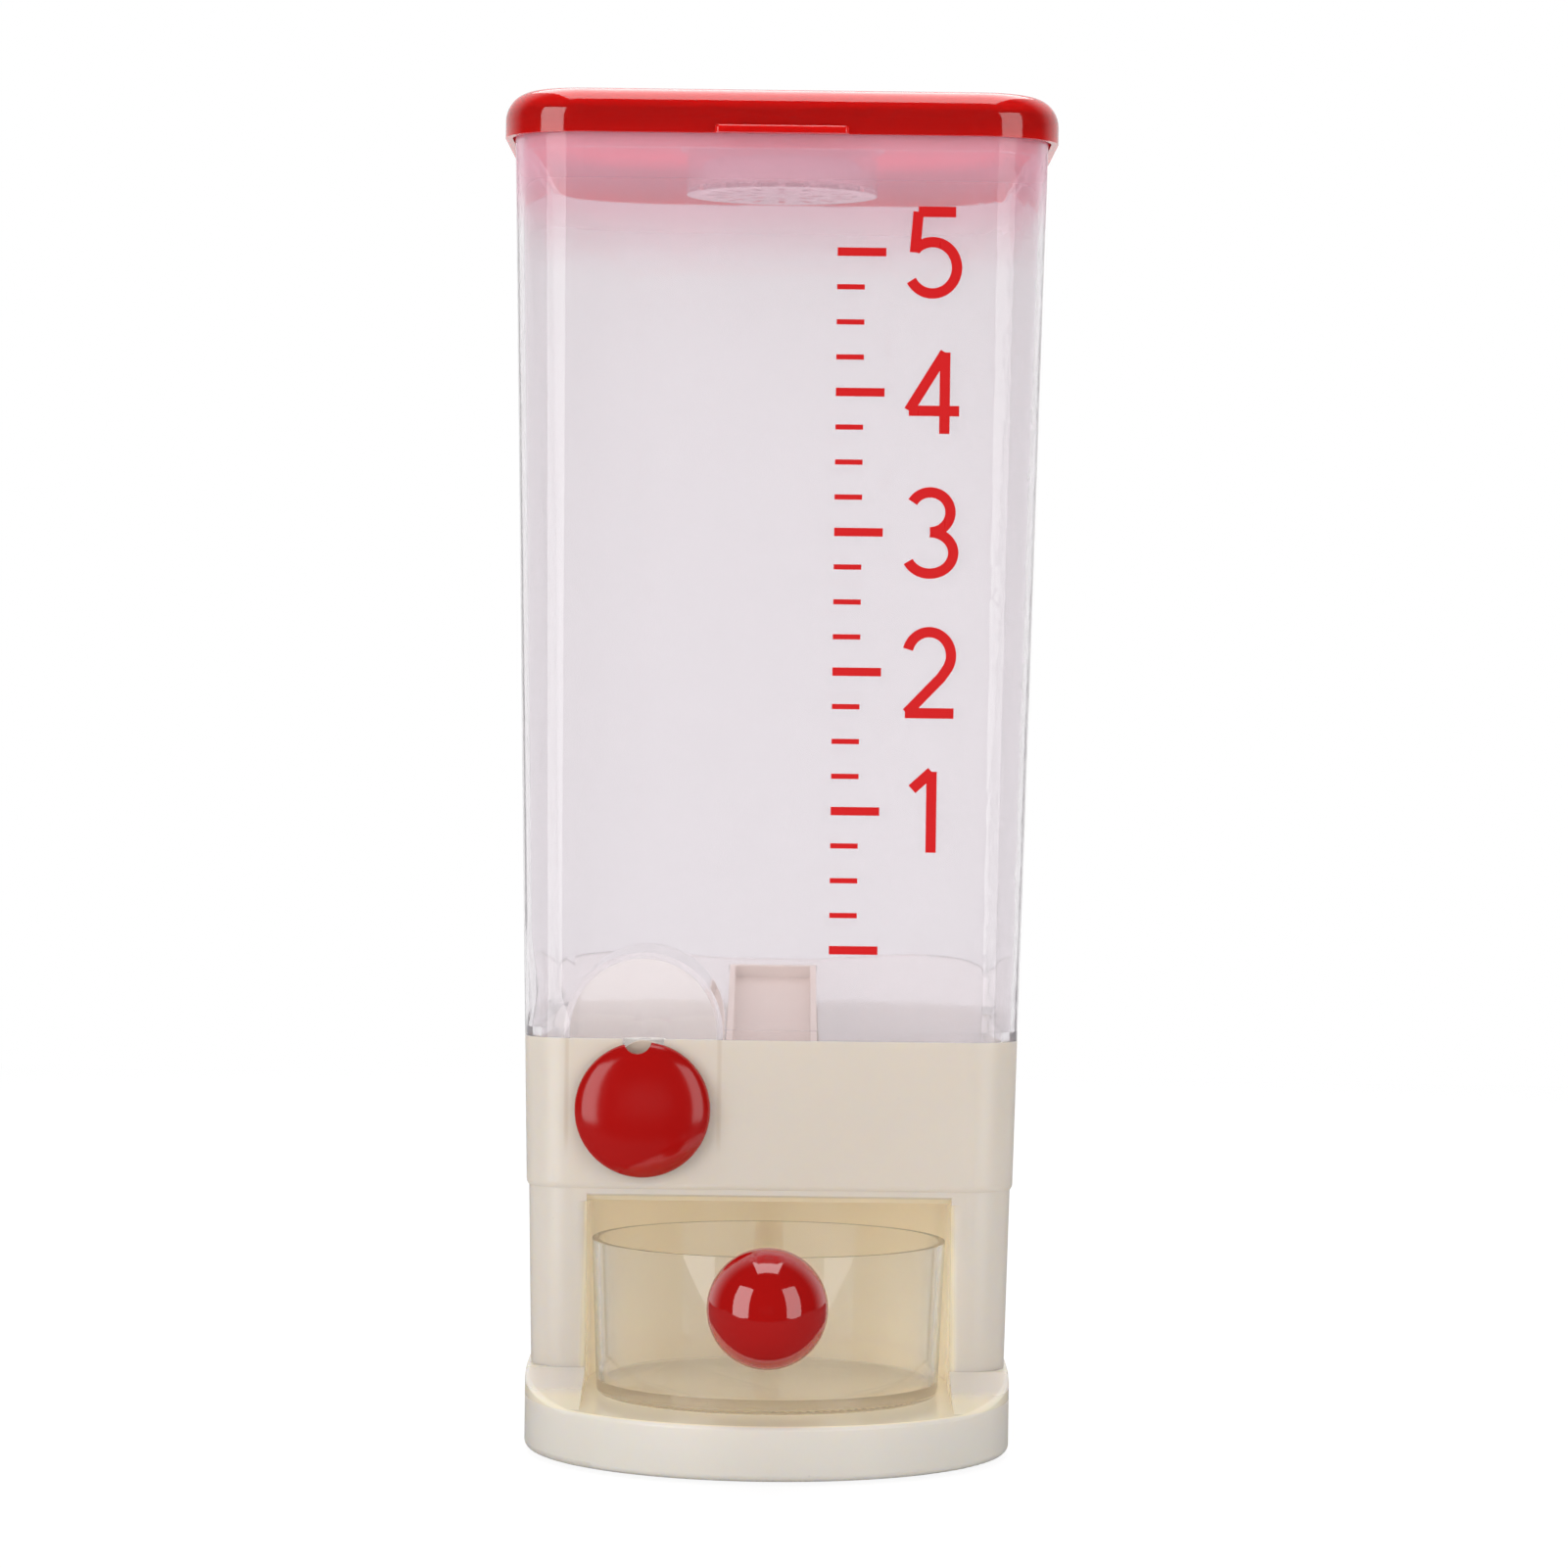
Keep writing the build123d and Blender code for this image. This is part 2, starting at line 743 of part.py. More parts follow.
# Domed knob turned about its own axis, hollow behind, notched at the top
def button_knob():
    front = knob_front_y
    rim_y = front + knob_rim_fall
    turns = [math.radians(90 * step / knob_dome_steps) for step in range(knob_dome_steps + 1)]
    points = [(knob_radius * math.sin(turn), rim_y - knob_rim_fall * math.cos(turn)) for turn in turns]
    dome = Spline(*points, tangents=[(1, 0), (0, 1)])
    back = Polyline((knob_radius, rim_y), (knob_radius, knob_back_y), (0, knob_back_y), (0, front))
    turned = make_face([dome, back])
    knob = Pos(knob_x, 0, knob_z) * revolve(turned, Axis.Y)
    root_y = knob_hollow_y - knob_wall / 2
    far_y = knob_back_y + overrun
    notch_x = knob_x - notch_side
    notch_z = knob_z + knob_radius + notch_radius - notch_depth
    hollow = rod_deep(knob_x, knob_z, knob_hollow_y, far_y, knob_radius - knob_wall)
    knob -= hollow - rod_deep(notch_x, notch_z, root_y, far_y, notch_radius + knob_wall)
    knob -= rod_deep(notch_x, notch_z, front - overrun, far_y, notch_radius)
    knob += rod_deep(knob_x, knob_z, root_y, carriage_front_y, knob_post_radius)
    return knob - rod_deep(
        knob_x, knob_z, root_y, carriage_front_y + overrun, screw_radius + running_gap
    )


def knob_carriage():
    slide = block(
        knob_x - carriage_half_width,
        knob_x + carriage_half_width,
        carriage_front_y,
        carriage_back_y,
        carriage_low_z,
        carriage_high_z,
    )
    slide += rod_deep(knob_x, tongue_z, carriage_front_y, carriage_back_y, tongue_radius)
    slide += block(
        knob_x - lug_radius, knob_x + lug_radius, carriage_front_y, rod_y_pos, lug_low_z, lug_high_z
    )
    slide += rod_up(knob_x, rod_y_pos, lug_low_z, lug_high_z, lug_radius)
    slide -= rod_up(knob_x, rod_y_pos, lug_low_z - overrun, lug_high_z + overrun, rod_radius + running_gap)
    near_y = carriage_front_y - overrun
    slide -= rod_deep(knob_x, knob_z, near_y, carriage_back_y + overrun, screw_radius + free_gap)
    for x, z in gate_screw_places():
        slide -= rod_deep(x, z, near_y, carriage_back_y + overrun, small_screw_radius + running_gap)
    return slide


def knob_screw():
    screw = rod_deep(knob_x, knob_z, knob_hollow_y, carriage_back_y, screw_radius)
    return screw + rod_deep(
        knob_x, knob_z, carriage_back_y, carriage_back_y + screw_head_thick, screw_head_radius
    )


def gate_screw_places():
    x = gate_flange_left_x + small_screw_margin
    return (x, gate_low_z + small_screw_margin), (x, gate_high_z - small_screw_margin)


def gate_plate():
    flange_back_y = carriage_back_y + gate_thick
    gate = block(gate_left_x, gate_right_x, carriage_back_y, gate_back_y, gate_low_z, gate_high_z)
    gate += block(
        gate_flange_left_x, gate_right_x, carriage_back_y, flange_back_y, gate_low_z, gate_high_z
    )
    for x, z in gate_screw_places():
        gate -= rod_deep(
            x, z, carriage_back_y - overrun, flange_back_y + overrun, small_screw_radius + free_gap
        )
    return gate


def gate_screws():
    seat_y = carriage_back_y + gate_thick
    screws = []
    for x, z in gate_screw_places():
        screw = rod_deep(x, z, carriage_front_y + free_gap, seat_y, small_screw_radius)
        screws.append(screw + rod_deep(x, z, seat_y, seat_y + small_head_thick, small_head_radius))
    return Compound(children=screws)


def guide_rod():
    return rod_up(knob_x, rod_y_pos, body_foot_z - rod_sink, rod_top_z, rod_radius)


def rod_cap():
    cap = rod_up(knob_x, rod_y_pos, rod_cap_z, rod_top_z, rod_cap_radius)
    return cap - rod_up(knob_x, rod_y_pos, 0, body_rim_z, rod_radius + running_gap)


def return_spring():
    inset = spring_wire + spring_seat
    height = rod_cap_z - lug_high_z - 2 * inset
    curl = Helix(pitch=height / spring_turns, height=height, radius=spring_radius)
    tip = Plane(origin=curl @ 0, z_dir=curl % 0)
    wire = sweep(tip * Circle(spring_wire), path=curl, is_frenet=True)
    print("return_spring least gap to itself", height / spring_turns - 2 * spring_wire)
    return Pos(knob_x, rod_y_pos, lug_high_z + inset) * wire


def cup():
    low_z = base_floor_z
    high_z = low_z + cup_height
    outer = Polyline(
        (0, low_z),
        (cup_foot_radius, low_z),
        (cup_rim_radius, high_z),
        (cup_rim_radius - cup_wall, high_z),
        (cup_foot_radius - cup_wall, low_z + cup_floor),
        (0, low_z + cup_floor),
        close=True,
    )
    bowl = revolve(Plane.XZ * make_face(outer), Axis.Z)
    bowl = fillet(bowl.edges().group_by(Axis.Z)[0], cup_foot_edge)
    bowl = Pos(0, cup_axis_y, 0) * bowl
    pad_y = cup_axis_y - cup_rim_radius
    pads = rod_deep(0, ball_z, pad_y - pad_lift, pad_y + cup_wall + pad_lift, pad_radius)
    return bowl + pads - rod_deep(0, ball_z, pad_y - overrun, pad_y + 2 * overrun, screw_radius + free_gap)


def ball_knob():
    face_y = cup_axis_y - cup_rim_radius - pad_lift
    centre_y = cup_axis_y - ball_reach
    ball = Pos(0, centre_y, ball_z) * Sphere(ball_radius)
    ball += rod_deep(0, ball_z, centre_y, face_y, ball_stem_radius)
    tip_y = face_y - ball_screw_bite
    return ball - rod_deep(0, ball_z, tip_y, face_y + overrun, screw_radius + running_gap)


def ball_screw():
    seat_y = cup_axis_y - cup_rim_radius + cup_wall + pad_lift
    tip_y = cup_axis_y - cup_rim_radius - pad_lift - ball_screw_bite + free_gap
    screw = rod_deep(0, ball_z, tip_y, seat_y, screw_radius)
    return screw + rod_deep(0, ball_z, seat_y, seat_y + screw_head_thick, screw_head_radius)


pieces = (
    lid_cover,
    lid_seal,
    hinge_pin,
    desiccant_case,
    desiccant_cap,
    desiccant_pack,
    clear_body,
    gate_tunnel,
    hopper_floor,
    outlet_chute,
    housing,
    outlet_spout,
    base_tray,
    base_plate,
    feet,
    base_screws,
    button_knob,
    knob_carriage,
    knob_screw,
    gate_plate,
    gate_screws,
    guide_rod,
    rod_cap,
    return_spring,
    cup,
    ball_knob,
    ball_screw,
)

for piece in pieces:
    export_step(piece(), "parts/" + piece.__name__ + ".step")
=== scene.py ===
"""Looks of a rice dispenser: moulded finishes, a printed gauge, a closing spring, a studio and the camera."""

import json
import logging
import math
from dataclasses import dataclass, replace
from enum import Enum
from typing import Any, Mapping, Optional, Sequence, Tuple, Union

import bpy
import numpy as np
from mathutils import Matrix, Vector


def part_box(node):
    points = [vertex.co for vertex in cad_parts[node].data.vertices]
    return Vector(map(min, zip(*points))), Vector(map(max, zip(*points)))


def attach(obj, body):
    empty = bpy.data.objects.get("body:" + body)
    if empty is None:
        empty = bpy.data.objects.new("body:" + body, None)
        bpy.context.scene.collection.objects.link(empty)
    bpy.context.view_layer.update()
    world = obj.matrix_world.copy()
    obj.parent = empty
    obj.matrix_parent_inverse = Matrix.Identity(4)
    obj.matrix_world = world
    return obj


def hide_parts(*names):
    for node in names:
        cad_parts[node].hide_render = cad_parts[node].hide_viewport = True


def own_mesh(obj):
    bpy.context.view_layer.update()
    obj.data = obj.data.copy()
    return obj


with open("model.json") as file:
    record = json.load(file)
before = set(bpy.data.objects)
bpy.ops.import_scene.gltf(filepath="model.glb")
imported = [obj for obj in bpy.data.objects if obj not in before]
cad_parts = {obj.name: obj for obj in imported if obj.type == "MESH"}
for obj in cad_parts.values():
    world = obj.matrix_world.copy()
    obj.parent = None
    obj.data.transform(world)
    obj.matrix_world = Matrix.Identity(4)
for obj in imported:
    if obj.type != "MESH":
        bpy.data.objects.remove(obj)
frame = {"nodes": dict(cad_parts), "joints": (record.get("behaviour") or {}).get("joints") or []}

LOG = logging.getLogger("rice_dispenser")
MILLIMETRE = 0.001
AIM = (0.0, -0.05, 0.22)
WHITE = (1.0, 1.0, 1.0, 1.0)
BLACK = (0.0, 0.0, 0.0)
SEEN_RAYS = ("Is Camera Ray", "Is Transmission Ray")
NOISE_ROUGHNESS = 0.55
LINE_POINTS = 6
ARC_POINTS = 40

# Marks that moulding leaves: clouds per metre and their detail, stretch of the flow streaks, and
# the relief in metres with the clouds' share of it
CLOUDS = 34.0
CLOUD_DETAIL = 3.0
STREAKS = (260.0, 260.0, 18.0)
RELIEF = 0.0002
CLOUD_RELIEF = 2.0
# Dust: cells per metre, a speck's share of its cell, the share of empty cells, and its tone
DUST_CELLS = 150.0
DUST_SIZE = 0.07
DUST_RARITY = 0.94
DUST_TONE = (0.45, 0.40, 0.34)

Tone = Tuple[float, float, float]
Mesh = Tuple[np.ndarray, np.ndarray]


class Body(Enum):
    """Bodies of the frame that new pieces ride on."""

    DISPENSER = "dispenser"


class Slot(Enum):
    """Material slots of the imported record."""

    RED = "red_plastic"
    STEEL = "steel"


class Blend(Enum):
    """Ways of joining two values in a node."""

    ADD = "ADD"
    SUBTRACT = "SUBTRACT"
    MULTIPLY = "MULTIPLY"
    DIVIDE = "DIVIDE"
    LARGEST = "MAXIMUM"
    ABOVE = "GREATER_THAN"


class Shade:
    """A value in a node tree, so that sums on it add Math nodes."""

    def __init__(self, graph: "Graph", socket: bpy.types.NodeSocket) -> None:
        """Keeps the tree and the output socket that holds the value."""
        self.graph = graph
        self.socket = socket

    def joined(self, blend: Blend, first: Any, second: Any, clamp: bool = False) -> "Shade":
        """Joins two values in one Math node.

        Args:
            blend: the way of joining them.
            first: a value or a number.
            second: a value or a number.
            clamp: whether the result is kept between 0 and 1.

        Returns:
            The joined value.
        """
        settings = {"operation": blend.value, "use_clamp": clamp}
        return self.graph.value("ShaderNodeMath", settings, {0: first, 1: second})

    def __add__(self, other: Any) -> "Shade":
        """Sum."""
        return self.joined(Blend.ADD, self, other)

    def __radd__(self, other: Any) -> "Shade":
        """Sum, with the value on the right."""
        return self.joined(Blend.ADD, other, self)

    def __sub__(self, other: Any) -> "Shade":
        """Difference."""
        return self.joined(Blend.SUBTRACT, self, other)

    def __rsub__(self, other: Any) -> "Shade":
        """Difference, with the value on the right."""
        return self.joined(Blend.SUBTRACT, other, self)

    def __mul__(self, other: Any) -> "Shade":
        """Product."""
        return self.joined(Blend.MULTIPLY, self, other)

    def __rmul__(self, other: Any) -> "Shade":
        """Product, with the value on the right."""
        return self.joined(Blend.MULTIPLY, other, self)

    def __truediv__(self, other: Any) -> "Shade":
        """Quotient."""
        return self.joined(Blend.DIVIDE, self, other)

    def clamped(self) -> "Shade":
        """The value kept between 0 and 1."""
        return self.joined(Blend.ADD, self, 0.0, clamp=True)

    def above(self, limit: float) -> "Shade":
        """1 where the value is over a limit, and 0 elsewhere."""
        return self.joined(Blend.ABOVE, self, limit)

    def largest(self, other: "Shade") -> "Shade":
        """The larger of two values."""
        return self.joined(Blend.LARGEST, self, other)


class Graph:
    """A node tree that is filled from Python."""

    def __init__(self, tree: bpy.types.NodeTree) -> None:
        """Empties the tree."""
        self.tree = tree
        tree.nodes.clear()

    def node(
        self,
        kind: str,
        settings: Optional[Mapping[str, Any]] = None,
        sockets: Optional[Mapping[Union[str, int], Any]] = None,
    ) -> bpy.types.Node:
        """Adds a node.

        Args:
            kind: the node's type name.
            settings: its own settings, set first.
            sockets: values or links of its inputs, by name or place.

        Returns:
            The new node.
        """
        made = self.tree.nodes.new(kind)
        for name, value in (settings or {}).items():
            setattr(made, name, value)
        for name, value in (sockets or {}).items():
            if isinstance(value, Shade):
                self.tree.links.new(value.socket, made.inputs[name])
            else:
                made.inputs[name].default_value = value
        return made

    def value(
        self,
        kind: str,
        settings: Optional[Mapping[str, Any]] = None,
        sockets: Optional[Mapping[Union[str, int], Any]] = None,
        output: Union[str, int] = 0,
    ) -> Shade:
        """Adds a node and takes one of its outputs.

        Args:
            kind: the node's type name.
            settings: its own settings.
            sockets: values or links of its inputs.
            output: name or place of the output.

        Returns:
            That output.
        """
        return Shade(self, self.node(kind, settings, sockets).outputs[output])

    def place(self, stretch: Tone = (1.0, 1.0, 1.0)) -> Shade:
        """The point on the piece in its own frame, stretched along each axis."""
        point = self.value("ShaderNodeTexCoord", output="Object")
        return self.value("ShaderNodeMapping", sockets={"Vector": point, "Scale": stretch})

    def noise(self, point: Shade, scale: float, detail: float = 2.0) -> Shade:
        """Smooth noise from 0 to 1 with a number of bumps per metre."""
        sockets = {"Vector": point, "Scale": scale, "Detail": detail, "Roughness": NOISE_ROUGHNESS}
        return self.value("ShaderNodeTexNoise", sockets=sockets)

    def specks(self, point: Shade, scale: float, size: float, rarity: float) -> Shade:
        """Round dots in a few cells of a cell pattern.

        Args:
            point: where the pattern is read.
            scale: cells per metre.
            size: a dot's radius as a share of its cell.
            rarity: share of the cells that stay empty.

        Returns:
            1 inside a dot, falling to 0 at its edge.
        """
        cells = self.node("ShaderNodeTexVoronoi", sockets={"Vector": point, "Scale": scale})
        near = Shade(self, cells.outputs["Distance"])
        parts = self.node("ShaderNodeSeparateColor", sockets={0: Shade(self, cells.outputs["Color"])})
        chosen = Shade(self, parts.outputs[0]).above(rarity)
        return (1.0 - near / size).clamped() * chosen

    def rise(self, value: Shade, low: float, high: float) -> Shade:
        """0 below a low limit, 1 above a high one, and a smooth rise between."""
        settings = {"interpolation_type": "SMOOTHSTEP"}
        return self.value("ShaderNodeMapRange", settings, {0: value, 1: low, 2: high})

    def tones(self, share: Shade, first: Tone, second: Tone) -> Shade:
        """Mixes a colour from two tones.

        Args:
            share: 0 for the first tone and 1 for the second.
            first: a tone.
            second: another tone.

        Returns:
            The colour.
        """
        settings = {"data_type": "RGBA", "clamp_factor": False}
        sockets = {0: share, 6: (*first, 1.0), 7: (*second, 1.0)}
        return self.value("ShaderNodeMix", settings, sockets, output=2)

    def over(self, share: Shade, under: Shade, tone: Tone) -> Shade:
        """A tone laid over a colour."""
        settings = {"data_type": "RGBA"}
        return self.value("ShaderNodeMix", settings, {0: share, 6: under, 7: (*tone, 1.0)}, output=2)

    def bump(self, height: Shade, strength: float, distance: float) -> Shade:
        """A normal that follows a height."""
        sockets = {"Height": height, "Strength": strength, "Distance": distance}
        return self.value("ShaderNodeBump", sockets=sockets)

    def seen(self, path: bpy.types.Node) -> Shade:
        """1 on rays from the camera, straight or through clear plastic, and 0 on any other."""
        straight, through = (Shade(self, path.outputs[name]) for name in SEEN_RAYS)
        return straight.largest(through)

    def close(self, shader: Shade, output: str = "ShaderNodeOutputMaterial") -> None:
        """Joins the finished shader to the tree's output."""
        self.node(output, sockets={"Surface": shader})


def new_graph(name: str) -> Tuple[bpy.types.Material, Graph]:
    """Makes a new material with an empty node tree.

    Args:
        name: the material's name.

    Returns:
        The material and its tree.
    """
    material = bpy.data.materials.new(name)
    material.use_nodes = True
    return material, Graph(material.node_tree)


def scaled(tone: Tone, share: float) -> Tone:
    """A tone made darker or lighter."""
    return tuple(channel * share for channel in tone)


class MouldingMarks:
    """Marks that moulding leaves on a piece, soft clouds and flow streaks, and the dust on it."""

    def __init__(self, graph: Graph) -> None:
        """Reads the clouds and the streaks at the point on the piece.

        Args:
            graph: the finish's node tree.
        """
        self.graph = graph
        self.point = graph.place()
        self.cloud = graph.noise(self.point, CLOUDS, CLOUD_DETAIL)
        self.streak = graph.noise(graph.place(STREAKS), 1.0)

    def clouded(self, tone: Tone, share: float) -> Shade:
        """A tone that the clouds make darker and lighter by a share of it."""
        dark, pale = scaled(tone, 1.0 - share), scaled(tone, 1.0 + share)
        return self.graph.tones(self.cloud, dark, pale)

    def dusted(self, colour: Shade, share: float) -> Shade:
        """A colour with specks of dust over it, as strong as the share."""
        specks = self.graph.specks(self.point, DUST_CELLS, DUST_SIZE, DUST_RARITY)
        return self.graph.over(specks * share, colour, DUST_TONE)

    def roughened(self, rough: Union[Shade, float], share: float) -> Shade:
        """A roughness that the streaks and the clouds vary by a share."""
        varied = rough + (self.streak - 0.5) * share + (self.cloud - 0.5) * share
        return varied.clamped()

    def normal(self, strength: float, scale: float) -> Shade:
        """A normal that follows a fine texture, with its bumps per metre, and the clouds."""
        height = self.graph.noise(self.point, scale) + self.cloud * CLOUD_RELIEF
        return self.graph.bump(height, strength, RELIEF)


@dataclass(frozen=True)
class MouldedPlastic:
    """Glossy or matt moulded plastic, with faint clouding, flow streaks, moulding texture and dust."""

    name: str
    tone: Tone
    roughness: float
    clouding: float = 0.04
    streaking: float = 0.05
    texture: float = 0.05
    texture_scale: float = 1100.0
    dust: float = 0.0
    level: float = 0.5
    glow: float = 0.0
    glow_tone: Tone = (1.0, 0.12, 0.10)
    glow_depth: float = 0.004

    def material(self) -> bpy.types.Material:
        """Builds the finish.

        Returns:
            The material.
        """
        material, graph = new_graph(self.name)
        marks = MouldingMarks(graph)
        colour = marks.clouded(self.tone, self.clouding)
        if self.dust:
            colour = marks.dusted(colour, self.dust)
        sockets = {
            "Base Color": colour,
            "Roughness": marks.roughened(self.roughness, self.streaking),
            "Specular IOR Level": self.level,
            "Subsurface Weight": self.glow,
            "Subsurface Radius": self.glow_tone,
            "Subsurface Scale": self.glow_depth,
            "Normal": marks.normal(self.texture, self.texture_scale),
        }
        graph.close(graph.value("ShaderNodeBsdfPrincipled", sockets=sockets))
        return material


@dataclass(frozen=True)
class CreamPlastic:
    """Glossy cream plastic, with a painted lighter, warmer tone and a painted glow in the cup's niche, and
    two painted shade lines on the band.
    """

    name: str
    tone: Tone
    # Painted light: a lighter, warmer tone laid over the niche's walls and the floor under the cup.
    niche_painted_light_tone: Tone
    # Painted shade: tone of darker hairlines on the band, in place of two shallow grooves.
    groove_shade_tone: Tone
    niche_half: float
    niche_front: float
    niche_back: float
    niche_low: float
    niche_top: float
    band_low: float
    track_places: Tuple[float, float]
    track_half: float = 0.0009
    track_share: float = 0.5
    edge: float = 0.002
    side_fade: float = 0.002
    # Painted glow: dimmed by a share beside the cup, starting from a share of the niche's half width.
    side_dim: float = 0.6
    side_start: float = 0.9
    clouding: float = 0.02
    streaking: float = 0.05
    texture: float = 0.03
    texture_scale: float = 1100.0
    dust: float = 0.25
    roughness: float = 0.32
    niche_roughness: float = 0.12
    # Painted glow in the niche: its colour, its strength at the bottom and its rise towards the top.
    niche_painted_glow: Tone = (0.078, 0.064, 0.050)
    light_low: float = 0.9
    light_rise: float = 0.5
    glow: float = 0.5
    glow_tone: Tone = (1.0, 0.75, 0.45)
    glow_depth: float = 0.006

    def niche(self, graph: Graph, point: Shade) -> Shade:
        """Marks the niche, where the painted lighter tone and the painted glow go.

        Args:
            graph: the finish's node tree.
            point: the point on the piece.

        Returns:
            1 on the walls of the niche and on the floor under the cup, and 0 elsewhere.
        """
        parts = graph.node("ShaderNodeSeparateXYZ", sockets={0: point})
        across, deep, high = (Shade(graph, parts.outputs[axis]) for axis in range(3))
        side = self.niche_half + self.side_fade
        inside = 1.0 - graph.rise(across * across, self.niche_half**2, side**2)
        behind = graph.rise(deep, self.niche_front, self.niche_front + self.edge)
        low, over = self.niche_low, self.niche_low + self.edge
        floor = graph.rise(high, low - self.edge / 4, low) - graph.rise(high, over, over + self.edge)
        walls = behind * (1.0 - graph.rise(high, self.niche_top, self.niche_top + self.edge))
        ahead = 1.0 - graph.rise(deep, self.niche_back, self.niche_back + self.edge / 2)
        return inside * ahead * walls.largest(floor)

    def tracks(self, graph: Graph, point: Shade) -> Shade:
        """Marks two upright lines on the front of the band, where darker hairlines are painted as the shade
        of two shallow grooves.

        Args:
            graph: the finish's node tree.
            point: the point on the piece.

        Returns:
            1 along the lines, falling to 0 beside them.
        """
        parts = graph.node("ShaderNodeSeparateXYZ", sockets={0: point})
        across, deep, high = (Shade(graph, parts.outputs[axis]) for axis in range(3))
        first, second = ((across - place) / self.track_half for place in self.track_places)
        lines = (1.0 - first * first).clamped().largest((1.0 - second * second).clamped())
        front = 1.0 - graph.rise(deep, self.niche_front, self.niche_front + self.edge)
        start = self.band_low + 5 * self.edge
        return lines * front * graph.rise(high, start, start + 5 * self.edge)

    def light(self, graph: Graph, point: Shade) -> Shade:
        """Works out the strength of the painted glow on the niche's walls and floor.

        Args:
            graph: the finish's node tree.
            point: the point on the piece.

        Returns:
            The strength, more towards the top and less beside the cup.
        """
        parts = graph.node("ShaderNodeSeparateXYZ", sockets={0: point})
        across, high = (Shade(graph, parts.outputs[axis]) for axis in (0, 2))
        start = self.side_start * self.niche_half
        beside = graph.rise(across * across, start**2, self.niche_half**2) * self.side_dim
        upward = graph.rise(high, self.niche_low, self.niche_top) * self.light_rise
        return (self.light_low + upward) * (1.0 - beside)

    def material(self) -> bpy.types.Material:
        """Builds the finish.

        Returns:
            The material.
        """
        material, graph = new_graph(self.name)
        marks = MouldingMarks(graph)
        # Painted shade: two darker hairlines on the band.
        lines = self.tracks(graph, marks.point) * self.track_share
        colour = graph.over(lines, marks.clouded(self.tone, self.clouding), self.groove_shade_tone)
        niche = self.niche(graph, marks.point)
        # Painted light: a lighter, warmer tone over the niche.
        colour = graph.over(niche, colour, self.niche_painted_light_tone)
        rough = self.roughness + niche * (self.niche_roughness - self.roughness)
        # Painted glow: the niche's walls and the floor under the cup emit a faint warm light.
        light = niche * self.light(graph, marks.point)
        sockets = {
            "Base Color": marks.dusted(colour, self.dust),
            "Roughness": marks.roughened(rough, self.streaking),
            "Emission Color": graph.tones(light, BLACK, self.niche_painted_glow),
            "Emission Strength": 1.0,
            "Subsurface Weight": self.glow,
            "Subsurface Radius": self.glow_tone,
            "Subsurface Scale": self.glow_depth,
            "Normal": marks.normal(self.texture, self.texture_scale),
        }
        graph.close(graph.value("ShaderNodeBsdfPrincipled", sockets=sockets))
        return material


@dataclass(frozen=True)
class PaintedLidLight:
    """Painted red light from the lid: a pink diffuse layer on a clear wall below it, fading between two
    heights.
    """

    tone: Tone
    share: float
    low: float
    high: float


@dataclass(frozen=True)
class ClearPlastic:
    """Clear moulded plastic with a faint tint and haze, which lets the lamps through."""

    name: str
    tint: Tone
    lamp_tint: Tone
    haze: float
    roughness: float
    waviness: float = 0.05
    ior: float = 1.49
    clouds: float = 16.0
    clouding: float = 0.015
    streaks: Tone = (150.0, 150.0, 9.0)
    streaking: float = 0.03
    streak_relief: float = 0.2
    relief: float = 0.002
    lid_light: Optional[PaintedLidLight] = None

    def material(self) -> bpy.types.Material:
        """Builds the finish.

        Returns:
            The material.
        """
        material, graph = new_graph(self.name)
        cloud = graph.noise(graph.place(), self.clouds)
        streak = graph.noise(graph.place(self.streaks), 1.0)
        height = cloud + streak * self.streak_relief
        sockets = {
            "Base Color": graph.tones(cloud, scaled(self.tint, 1.0 - self.clouding), self.tint),
            "Roughness": (self.roughness + (streak - 0.5) * self.streaking).clamped(),
            "IOR": self.ior,
            "Transmission Weight": 1.0 - self.haze,
            "Normal": graph.bump(height, self.waviness, self.relief),
        }
        clear = graph.value("ShaderNodeBsdfPrincipled", sockets=sockets)
        # Painted red light from the lid: a pink diffuse layer that rises towards the rim.
        if self.lid_light:
            high = graph.value("ShaderNodeSeparateXYZ", sockets={0: graph.place()}, output=2)
            near = graph.rise(high, self.lid_light.low, self.lid_light.high) * self.lid_light.share
            soft = graph.value("ShaderNodeBsdfDiffuse", sockets={"Color": (*self.lid_light.tone, 1.0)})
            clear = graph.value("ShaderNodeMixShader", sockets={0: near, 1: clear, 2: soft})
        lamps = graph.value("ShaderNodeBsdfTransparent", sockets={"Color": (*self.lamp_tint, 1.0)})
        shadow = graph.value("ShaderNodeLightPath", output="Is Shadow Ray")
        graph.close(graph.value("ShaderNodeMixShader", sockets={0: shadow, 1: clear, 2: lamps}))
        return material


@dataclass(frozen=True)
class BrightSteel:
    """Zinc plated steel with fine turning marks."""

    name: str
    tone: Tone
    roughness: float
    clouds: float = 120.0
    clouding: float = 0.14
    marks: Tone = (4000.0, 4000.0, 300.0)
    marking: float = 0.2
    texture: float = 0.1
    relief: float = 0.0001

    def material(self) -> bpy.types.Material:
        """Builds the finish.

        Returns:
            The material.
        """
        material, graph = new_graph(self.name)
        cloud = graph.noise(graph.place(), self.clouds, CLOUD_DETAIL)
        marks = graph.noise(graph.place(self.marks), 1.0)
        sockets = {
            "Base Color": graph.tones(cloud, scaled(self.tone, 1.0 - self.clouding), self.tone),
            "Metallic": 1.0,
            "Roughness": (self.roughness + (marks - 0.5) * self.marking).clamped(),
            "Normal": graph.bump(marks, self.texture, self.relief),
        }
        graph.close(graph.value("ShaderNodeBsdfPrincipled", sockets=sockets))
        return material


